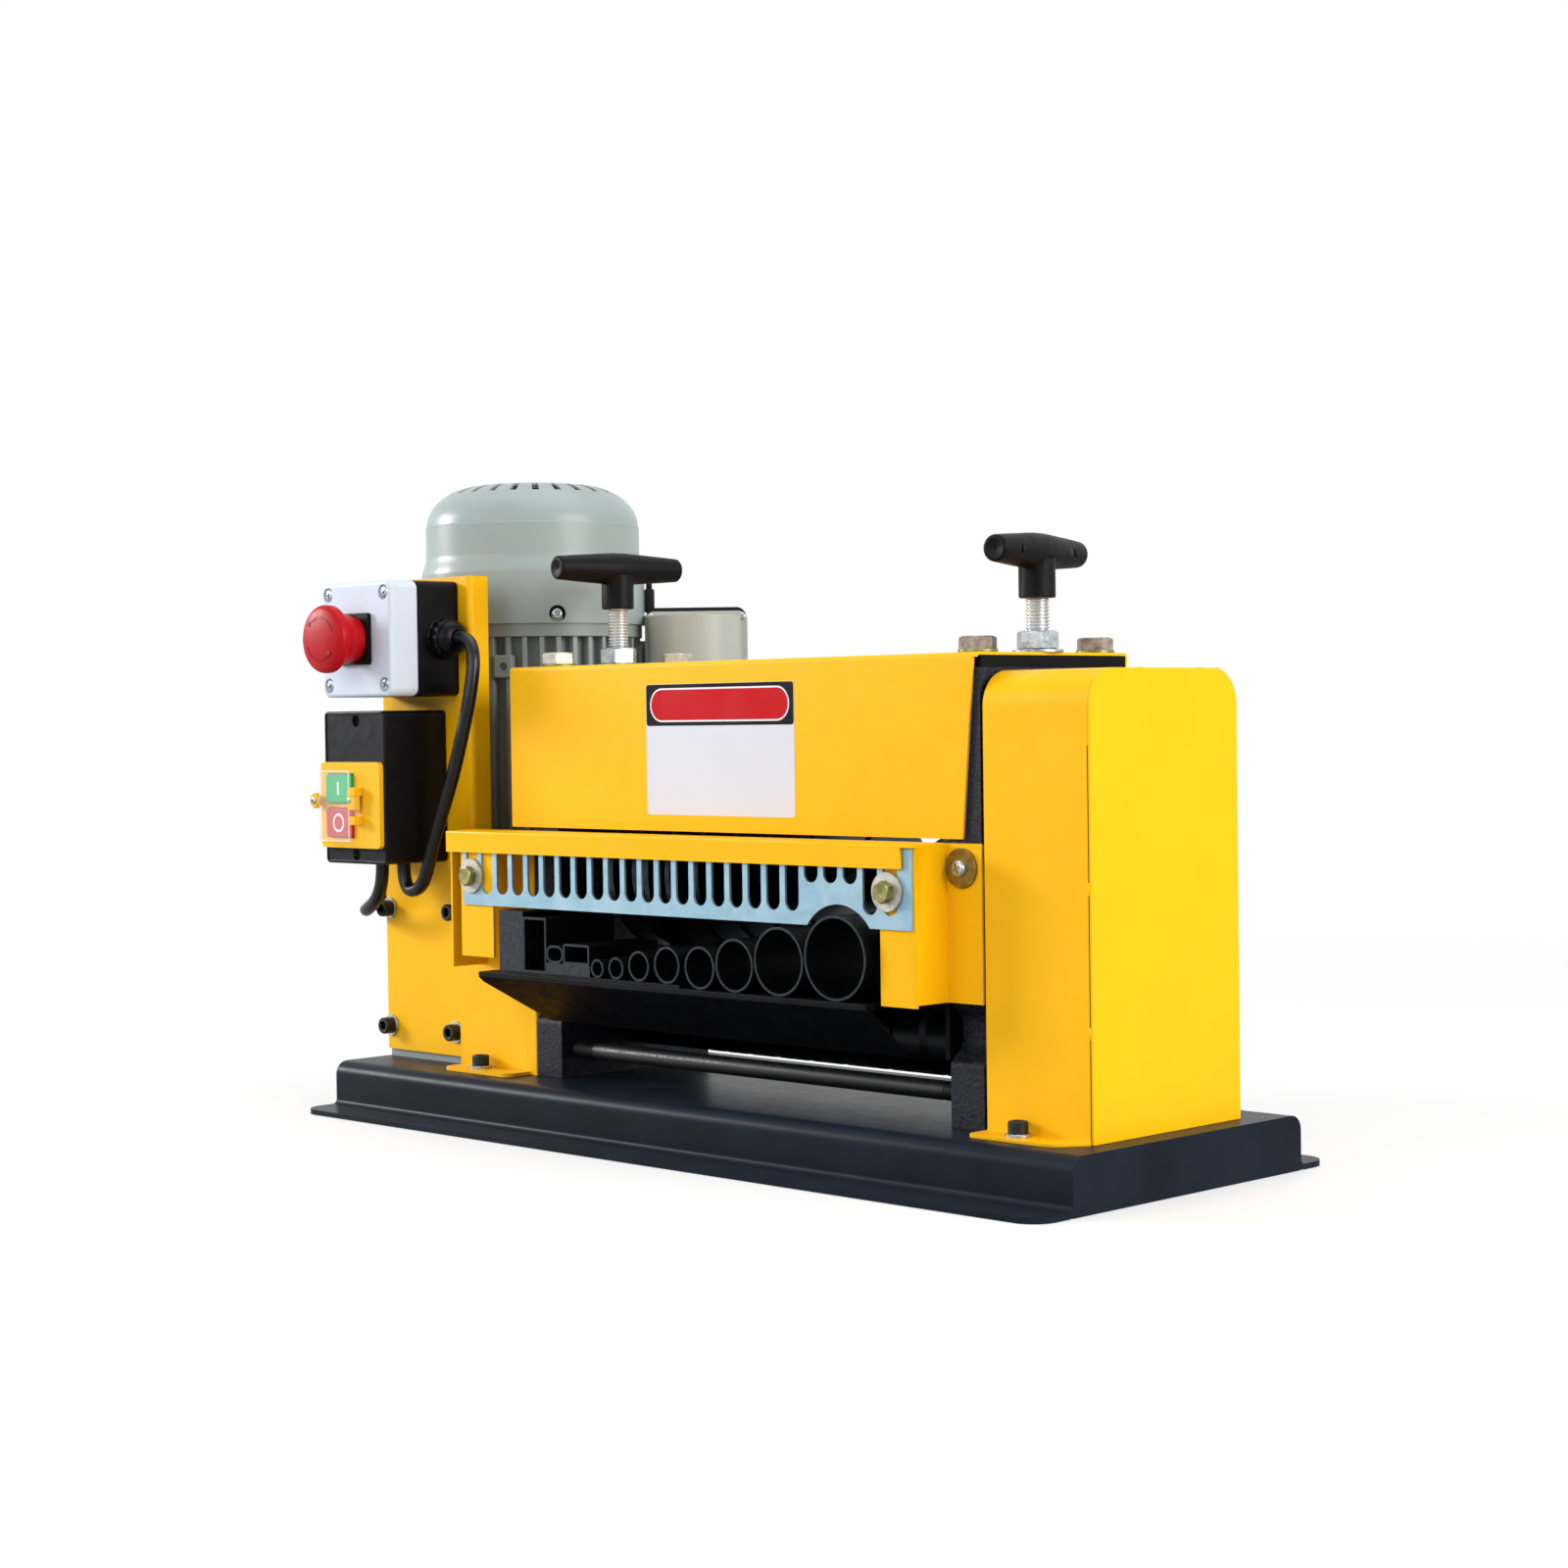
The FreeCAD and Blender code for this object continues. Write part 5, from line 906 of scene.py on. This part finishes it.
# Switch: box with a raised rim and two screw holes, marks on the keys
switchSizes = {"left": -283.0, "right": -224.0, "low": 149.5, "high": 240.2, "front": -98.0, "rim": 1.3,
               "holeRadius": 3.6, "rimDepth": 0.7, "holeDepth": 3.2, "holes": ((-252.0, 234.4), (-253.3, 155.2)),
               "keyFront": -103.0, "startMark": (-263.0, 194.4), "bar": (1.7, 8.0), "stopMark": (-263.0, 173.9),
               "ring": (4.2, 5.6), "markLow": -0.1, "markHigh": 0.15}


def makeSwitch(size):
    piece = roundEdges(joinedUp(weldedCopy("switch_box"), "switch_box_shell", "switchBlack"), 1.0, 3)
    frozen(piece)
    cutter = bmesh.new()
    rim = size["rim"]
    cuboid(cutter, at(size["left"] + rim, size["front"] - 2, size["low"] + rim),
           at(size["right"] - rim * 0.5, size["front"] + size["rimDepth"], size["high"] - rim), 0.6)
    carve(piece, cutter)
    cutter, hollow, bar, ring = (bmesh.new() for _ in range(4))
    floor = 0.1 - size["holeDepth"]
    for x, z in size["holes"]:
        spot = at(x, size["front"], z)
        rodCutter(cutter, size["holeRadius"], -size["holeDepth"], 2.0, spot, front, 32)
        # a near black disc at the floor of each hole: painted shade in the hole
        rodCutter(hollow, size["holeRadius"] - 0.05, floor, floor + 0.2, spot, front, 32)
    carve(piece, cutter)
    settle(piece, body["switch_box"], slots["switch_box"], "switch_box")
    extra(hollow, "switch_hole_painted_shade", "dark", "switch_box")
    low, high = size["markLow"], size["markHigh"]
    x, z = size["startMark"]
    roundedTile(bar, *size["bar"], 0.5, low, high, at(x, size["keyFront"], z), front)
    extra(bar, "start_mark", "mark", "start_button")
    x, z = size["stopMark"]
    inner, outer = size["ring"]
    spun(ring, [(inner, low), (outer, low), (outer, high), (inner, high)], at(x, size["keyFront"], z), front, 40,
         ring=True)
    extra(ring, "stop_mark", "mark", "stop_button")


# Clear flap: bright edges, hinge block with its pin, and a screwed ear on the free side
flapSizes = {"left": -277.9, "right": -248.1, "low": 163.0, "high": 205.3, "face": -106.0, "rim": 0.9, "proud": 0.25,
             "hinge": ((-249.5, -106.4, 181.6), (-241.9, -102.2, 193.2)), "pin": (-247.6, -106.4, 187.4),
             "ear": (-282.4, -104.0, 187.0), "screwSeat": 2.5,
             "screw": {"radius": 2.3, "height": 1.4, "floor": 0.6, "cross": (1.5, 0.35), "steps": 24}}


def makeFlap(size):
    edges, hinge, pin, ear = (bmesh.new() for _ in range(4))
    left, far, low, high, rim = (size[key] for key in ("left", "right", "low", "high", "rim"))
    for x0, x1, z0, z1 in ((left, far, low, low + rim), (left, far, high - rim, high),
                           (left, left + rim, low + rim, high - rim), (far - rim, far, low + rim, high - rim)):
        cuboid(edges, at(x0, size["face"] - size["proud"], z0), at(x1, size["face"], z1))
    extra(edges, "flap_edges", "clearEdge", "switch_flap")
    cuboid(hinge, *(at(*corner) for corner in size["hinge"]), 0.7)
    extra(hinge, "flap_hinge_block", "keyYellow", "switch_flap")
    panHead(pin, 1.6, 0.6, at(*size["pin"]), front)
    extra(pin, "flap_hinge_pin", "zinc", "switch_flap")
    place = at(*size["ear"])
    spun(ear, [(0, -0.4), (4.2, -0.4), (4.6, 0), (4.6, 2.2), (4.0, 2.8), (0, 2.8)], place, front, 32)
    extra(ear, "flap_ear", "keyYellow", "switch_flap")
    crossScrews("flap_ear_screw", "switch_flap", size["screw"], [(place + front * size["screwSeat"] * mm, front, 30)])


makeSwitch(switchSizes)
makeFlap(flapSizes)
print("stop and switch")

# Plain panel on the top cover: pale field, dark band and a red bar, without words
panelSizes = {"front": -59.2, "left": -37.0, "right": 77.5, "low": 180.8, "high": 252.0, "band": 22.8,
              "barInset": 3.4, "corner": 2.0}


def makePanel(size):
    x = (size["left"] + size["right"]) / 2
    width = size["right"] - size["left"]
    face = size["front"]

    def layer(name, material, wide, tall, z, corner, low, high):
        mesh = bmesh.new()
        roundedTile(mesh, wide, tall, corner, low, high, at(x, face, z), front)
        extra(mesh, name, material, "top_cover")

    middle = (size["low"] + size["high"]) / 2
    bandMiddle = size["high"] - size["band"] / 2
    inset = size["barInset"]
    layer("panel_field", "labelPale", width, size["high"] - size["low"], middle, size["corner"], -0.05, 0.16)
    layer("panel_band", "labelDark", width - 0.5, size["band"] - 0.3, bandMiddle, size["corner"] - 0.3, 0.16, 0.2)
    layer("panel_outline", "labelWhite", width - 2 * inset, size["band"] - 1.3 * inset, bandMiddle,
          (size["band"] - 1.3 * inset) / 2 - 0.1, 0.2, 0.23)
    layer("panel_bar", "labelRed", width - 2 * inset - 1.8, size["band"] - 1.3 * inset - 1.8, bandMiddle,
          (size["band"] - 1.3 * inset - 1.8) / 2 - 0.1, 0.23, 0.26)


makePanel(panelSizes)

# Motor cowl: pressed steel, flared skirt, smooth dome with radial vents, screws through the skirt
cowlSizes = {"x": -250.5, "y": 40.0, "low": 292.0, "skirt": 323.0, "neck": 335.0, "ridge": 354.0, "top": 379.5,
             "outer": 69.5, "slim": 66.5, "topRadius": 31.0, "wall": 1.8,
             "vents": ((16, 14.0, 26.0, 3.5), (24, 38.0, 53.0, 4.0)),
             "screwAngles": (-28, 62, 152, 242), "screwHeight": 297.6, "wellRadius": 5.2, "wellDepth": 2.2,
             "screw": {"radius": 3.4, "height": 2.0, "floor": 1.0, "cross": (2.2, 0.5), "steps": 24}}


def makeCowl(size):
    def outline(inset):
        # from the skirt up to the flat top
        points = [(size["outer"] - inset, size["low"]), (size["outer"] - inset, size["skirt"])]
        for step in range(1, 7):
            part = step / 6
            ease = part * part * (3 - 2 * part)
            points.append((size["outer"] - inset - (size["outer"] - size["slim"]) * ease,
                           size["skirt"] + (size["neck"] - size["skirt"]) * part))
        points.append((size["slim"] - inset, size["ridge"] - 0.6))
        reach, rise = size["slim"] - 0.5 - size["topRadius"], size["top"] - size["ridge"]
        for step in range(13):
            angle = math.radians(90 * step / 12)
            points.append((size["topRadius"] + (reach - inset * math.cos(angle)) * math.cos(angle),
                           size["ridge"] + (rise - inset) * math.sin(angle)))
        return points + [(0, size["top"] - inset)]

    mesh = bmesh.new()
    axis = at(size["x"], size["y"], 0)
    spun(mesh, outline(0)[::-1] + outline(size["wall"]), axis, up, 96)
    cowl = joinedUp(mesh, "cowl_shell", "motor", 34)
    holes, wells, seats = bmesh.new(), bmesh.new(), []
    for count, start, end, width in size["vents"]:
        for index in range(count):
            turnedCuboid(holes, (start, -width / 2, size["top"] - 12), (end, width / 2, size["top"] + 4), axis,
                         360 * (index + 0.5) / count)
    spot = at(size["x"], size["y"], size["screwHeight"])
    floor = size["outer"] - size["wellDepth"]
    for angle in size["screwAngles"]:
        outward = outwards(angle)
        rodCutter(holes, size["wellRadius"], size["outer"] - 6, size["outer"] + 4, spot, outward, 32)
        # a near black disc at the floor of each screw well: painted shade in the well
        rodCutter(wells, size["wellRadius"] - 0.05, floor, floor + 0.3, spot, outward, 32)
        seats.append((spot + outward * floor * mm, outward, 40))
    carve(cowl, holes, 34)
    settle(cowl, body["motor_cowl"], slots["motor_cowl"], "motor_cowl")
    extra(wells, "cowl_well_painted_shade", "dark", "motor_cowl")
    crossScrews("cowl_screws", "cap_screws", size["screw"], seats)


makeCowl(cowlSizes)

# Cast lugs of the motor body under the cowl, each with a bolt hole
lugSizes = {"inner": 60.0, "outer": 69.0, "width": 12.0, "tall": 14.0, "hole": 2.5,
            "spots": ((-56, 266.0), (39.4, 271.6))}


def makeLugs(size):
    lugs, holes = bmesh.new(), bmesh.new()
    for angle, z in size["spots"]:
        spot = at(cowlSizes["x"], cowlSizes["y"], z)
        outward = outwards(angle)
        turnedCuboid(lugs, (size["inner"], -size["width"] / 2, -size["tall"] / 2),
                     (size["outer"], size["width"] / 2, size["tall"] / 2), spot, angle, 1.2)
        rodCutter(holes, size["hole"], size["outer"] - 3, size["outer"] + 2, spot, outward, 24)
    carve(extra(lugs, "motor_lugs", "motorCast", "motor_body"), holes)


makeLugs(lugSizes)

# Terminal box: gasket behind the lid, four lid screws and a rubber plug, all turned 45 degrees
boxSizes = {"near": 70.0, "far": 134.0, "lidFront": -12.0, "lidBack": -9.0, "low": 220.0, "high": 300.0,
            "screwInset": 3.6, "gasket": 2.4,
            "screw": {"radius": 2.5, "height": 1.7, "floor": 0.8, "cross": (1.6, 0.35), "steps": 24},
            "plug": (((69.8, -7, 299.5), (75.8, 1, 314.6), 1.2, 3), ((70.8, -5.5, 314), (74.4, -0.5, 318.4), 0.8, 2))}


def boxPlace(along, out, z):
    return at(cowlSizes["x"], cowlSizes["y"], z) + (outwards(45) * along + outwards(135) * out) * mm


def makeBoxDetails(size):
    facing = outwards(-45)
    wide, tall = size["far"] - size["near"], size["high"] - size["low"]
    along, z = (size["near"] + size["far"]) / 2, (size["low"] + size["high"]) / 2
    gasket, flange, plug = (bmesh.new() for _ in range(3))
    roundedTile(gasket, wide - 1.4, tall + size["gasket"] + 0.8, 6.2, -1.6, -0.02,
                boxPlace(along, size["lidBack"], z + (size["gasket"] - 0.8) / 2), facing)
    extra(gasket, "terminal_box_gasket", "rubber", "junction_lid")
    roundedTile(flange, wide - 6.6, tall - 4, 5, -4.1, -1.6, boxPlace(along, size["lidBack"], z), facing)
    roundEdges(extra(flange, "terminal_box_flange", "boxGrey", "junction_box"), 0.6)
    inset = size["screwInset"]
    seats = [(boxPlace(reach, size["lidFront"], height), facing, 15)
             for reach in (size["near"] + inset, size["far"] - inset)
             for height in (size["low"] + inset, size["high"] - inset)]
    crossScrews("terminal_box_screws", "cap_screws", size["screw"], seats)
    for low, high, bevel, segments in size["plug"]:
        turnedCuboid(plug, low, high, boxPlace(0, 0, 0), 45, bevel, segments)
    extra(plug, "terminal_box_plug", "rubber", "junction_box")


makeBoxDetails(boxSizes)
print("panel, motor cowl and terminal box")

# Tie rod with threaded ends
tieRod = {"threadLength": 26.0, "pitch": 1.5, "depth": 0.6}


def makeTieRod(size):
    low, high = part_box("tie_rod")
    radius = (high.z - low.z) / 2 / mm
    length = (high.x - low.x) / mm
    near = threadRings(0.6, size["threadLength"], radius, size["pitch"], size["depth"])
    far = [(r, length - along) for r, along in reversed(near)]
    mesh = bmesh.new()
    plain = [(radius, size["threadLength"] + 1), (radius, length - size["threadLength"] - 1)]
    spun(mesh, [(0, 0), (radius - 1, 0)] + near + plain + far + [(radius - 1, length), (0, length)],
         (low.x, (low.y + high.y) / 2, (low.z + high.z) / 2), right, 24)
    extra(mesh, "tie_rod_threaded", "oxide", "tie_rod", True, smoothAngle=25)


makeTieRod(tieRod)

# Gearbox: six screws round the left cover, and two plugs on raised seats behind
gearboxSizes = {"middle": 67.0, "circle": 31.0, "screws": 6, "across": 8.0, "back": 85.0, "seat": 9.0,
                "plugs": ((-250.5, 112.0), (-268.0, 44.0)), "plugAcross": 14.0}


def makeGearboxScrews(size):
    mesh = bmesh.new()
    middle = Vector((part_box("reducer_housing")[0].x, 0, size["middle"] * mm))
    rear = Vector((0, 1, 0))
    for index in range(size["screws"]):
        angle = math.radians(360 / size["screws"] * index + 30)
        reach = size["circle"] * mm
        spot = middle + Vector((0, reach * math.cos(angle), reach * math.sin(angle)))
        hexHead(mesh, size["across"], -0.1, 3.5, spot, -right, 13 * index)
    for x, z in size["plugs"]:
        spot = at(x, size["back"], z)
        hexHead(mesh, size["plugAcross"], 1.2, 6.0, spot, rear, 10)
        rodCutter(mesh, size["seat"], -0.2, 1.3, spot, rear, 32)
    extra(mesh, "gearbox_screws", "paleZinc", "reducer_housing")


# Gear cover: a near black strip in the seam round its end plate is painted shade of the seam, broken by the tack
# welds
seamSizes = {"x": 271.5, "halfWidth": 58.5, "low": 28.6, "side": 218.0, "sideTacks": (81.5, 150.0),
             "top": 254.8, "topReach": (-38.0, 47.0), "topTacks": (-18.0, 30.0), "gap": 0.5, "tack": 4.0}


def makeSeam(size):
    seamShades, beads = bmesh.new(), bmesh.new()
    x, side, half = size["x"], size["halfWidth"], size["gap"] / 2

    def stretches(start, end, tacks):
        # the seam from start to end, without the tack welds
        reach = size["tack"] / 2
        marks = [start] + [edge for tack in tacks for edge in (tack - reach, tack + reach)] + [end]
        return zip(marks[::2], marks[1::2])

    for way in (-1, 1):
        for low, high in stretches(size["low"], size["side"], size["sideTacks"]):
            cuboid(seamShades, at(x - half, way * side - 0.06, low), at(x + half, way * side + 0.06, high))
    for low, high in stretches(*size["topReach"], size["topTacks"]):
        cuboid(seamShades, at(x - half, low, size["top"] - 0.06), at(x + half, high, size["top"] + 0.06))
    spots = [(way * side, z, (0.9, 0.55, 3.2)) for way in (-1, 1) for z in size["sideTacks"]]
    spots += [(y, size["top"], (0.9, 3.2, 0.45)) for y in size["topTacks"]]
    for y, z, reach in spots:
        made = bmesh.ops.create_icosphere(beads, subdivisions=2, radius=1.0)["verts"]
        bmesh.ops.scale(beads, vec=[value * mm for value in reach], verts=made)
        bmesh.ops.translate(beads, verts=made, vec=at(x, y, z))
    extra(seamShades, "gear_cover_seam_painted_shade", "dark", "gear_cover")
    extra(beads, "gear_cover_tacks", "yellow", "gear_cover")


makeGearboxScrews(gearboxSizes)
makeSeam(seamSizes)
print("tie rod, gearbox screws and tack welds")

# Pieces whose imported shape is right: finish, and rounding of their edges in millimetres
dressedNodes = {
    "base": ("base", 0.5), "side_frame_left": ("casting", 0.9), "side_frame_right": ("casting", 0.9),
    "top_plate": ("sheet", 0.4), "top_cover": ("yellow", 0.3), "guard_hood": ("yellow", 0.3),
    "comb_plate": ("comb", 0.2), "guide_tray": ("sheet", 0.4), "guide_flat_channels": ("guides", 0.2),
    "guide_tubes_small": ("guides", 0.2), "guide_tubes_medium": ("guides", 0.2),
    "guide_tubes_large": ("guides", 0.2), "shaft_bearings": ("zinc", 0.4), "cutter_bearings": ("zinc", 0.4),
    "bearing_block_left": ("casting", 0.6), "bearing_block_right": ("casting", 0.6),
    "cutter_shaft": ("spacer", 0.4), "feed_shaft": ("shaft", 0.4), "blades": ("blade", 0),
    "blade_spacers": ("spacer", 0.3), "feed_rollers": ("spacer", 0.3), "cutter_gear": ("gears", 0.3),
    "feed_gear": ("gears", 0.3), "reducer_housing": ("motorCast", 1.2), "motor_flange": ("motorCast", 1.2),
    "motor_body": ("motorCast", 0.5), "junction_box": ("boxGrey", 0.8), "junction_lid": ("boxGrey", 0.9),
    "switch_plate": ("yellow", 0.3), "front_bracket": ("yellow", 0.3), "estop_box": ("black", 1.2),
    "estop_bezel": ("black", 0.4), "estop_stem": ("red", 0.4), "switch_bezel": ("keyYellow", 0.7),
    "switch_flap": ("clear", 0.3), "start_button": ("green", 0.5), "stop_button": ("redKey", 0.5),
    "gear_cover": ("yellow", 0.35), "gear_cover_end": ("yellow", 0.35), "worm_wheel": ("bronze", 0),
    "worm": ("gears", 0), "motor_rotor": ("gears", 0), "motor_fan": ("black", 0), "base_bolts": ("zinc", 0.3),
}
# Folded sheet: inner radius of its bends and thickness
sheetBends = {"base": (3.0, 3.0), "top_cover": (0.8, 1.5), "guard_hood": (0.8, 1.5),
              "switch_plate": (1.0, 2.0), "front_bracket": (1.0, 2.0), "gear_cover": (0.8, 1.5)}
for nodeName, (material, edge) in dressedNodes.items():
    dress(nodeName, material, edge, bend=sheetBends.get(nodeName))
print("dressed nodes:", len(dressedNodes))

# Floor, background and light
studio = {"floor": 14.0, "floorColour": "#f4f4f4", "bounceColour": "#a8a8a8", "ambient": 0.38,
          "fadeStart": 0.5, "fadeEnd": 1.5}


def makeStage(sizes):
    # a matt studio floor: white to the camera, darker to what stands on it, so recesses stay deep
    material, tree, shader, place = startMaterial("studioFloor", sizes["floorColour"], 0.6)
    # seen straight by the camera the floor is lifted halfway to white, so it keeps a soft shadow,
    # and it runs out into plain white away from the machine
    ray = addNode(tree, "ShaderNodeLightPath").outputs["Is Camera Ray"]
    link(tree, blendColours(tree, ray, sizes["bounceColour"], sizes["floorColour"]), shader, "Base Color")
    away = addNode(tree, "ShaderNodeVectorMath", {"operation": "LENGTH"}, i0=place).outputs["Value"]
    lift = spread(tree, away, 0.5, 1.0, sizes["fadeStart"], sizes["fadeEnd"])
    half = addNode(tree, "ShaderNodeMath", {"operation": "MULTIPLY"}, i0=ray, i1=lift).outputs[0]
    glow = addNode(tree, "ShaderNodeEmission", Strength=1.0).outputs[0]
    mixed = addNode(tree, "ShaderNodeMixShader", i0=half, i1=shader.outputs[0], i2=glow).outputs[0]
    tree.links.new(mixed, tree.nodes["Material Output"].inputs["Surface"])
    mesh = bmesh.new()
    bmesh.ops.create_grid(mesh, x_segments=1, y_segments=1, size=sizes["floor"])
    floor = joinedUp(mesh, "floor", material)
    floor.location.z = -0.0002
    world = bpy.data.worlds.new("studio")
    bpy.context.scene.world = world
    world.use_nodes = True
    tree = world.node_tree
    paths = addNode(tree, "ShaderNodeLightPath").outputs
    seen = addNode(tree, "ShaderNodeMath", {"operation": "MAXIMUM"}, i0=paths["Is Camera Ray"],
                   i1=paths["Is Glossy Ray"]).outputs[0]
    seen = addNode(tree, "ShaderNodeMath", {"operation": "MAXIMUM"}, i0=seen,
                   i1=paths["Is Transmission Ray"]).outputs[0]
    strength = addNode(tree, "ShaderNodeMapRange", i0=seen, i1=0.0, i2=1.0, i3=sizes["ambient"], i4=1.0).outputs[0]
    background = tree.nodes["Background"]
    background.inputs["Color"].default_value = (1, 1, 1, 1)
    tree.links.new(strength, background.inputs["Strength"])


def addLamp(name, place, target, size, power):
    data = bpy.data.lights.new(name, "AREA")
    data.shape = "RECTANGLE"
    data.size, data.size_y = size
    data.energy = power
    lamp = bpy.data.objects.new(name, data)
    lamp.matrix_world = Matrix.Translation(place) @ turnTo(Vector(place) - Vector(target))
    bpy.context.scene.collection.objects.link(lamp)


makeStage(studio)
machineMiddle = (0.0, 0.0, 0.15)
# place, size in metres, power in watts
lamps = {"leftKey": ((-2.2, -1.15, 0.95), (0.6, 0.6), 46), "rightKey": ((2.5, 0.3, 1.0), (1.4, 1.2), 58),
         "frontFill": ((-0.1, -2.6, 1.1), (2.4, 1.2), 26), "overhead": ((0.0, 0.2, 2.2), (2.0, 1.6), 18)}
for lampName, (lampPlace, lampSize, power) in lamps.items():
    addLamp(lampName, lampPlace, machineMiddle, lampSize, power)
bpy.context.scene.view_settings.view_transform = "Standard"
print("stage and lamps set")

bpy.context.view_layer.update()
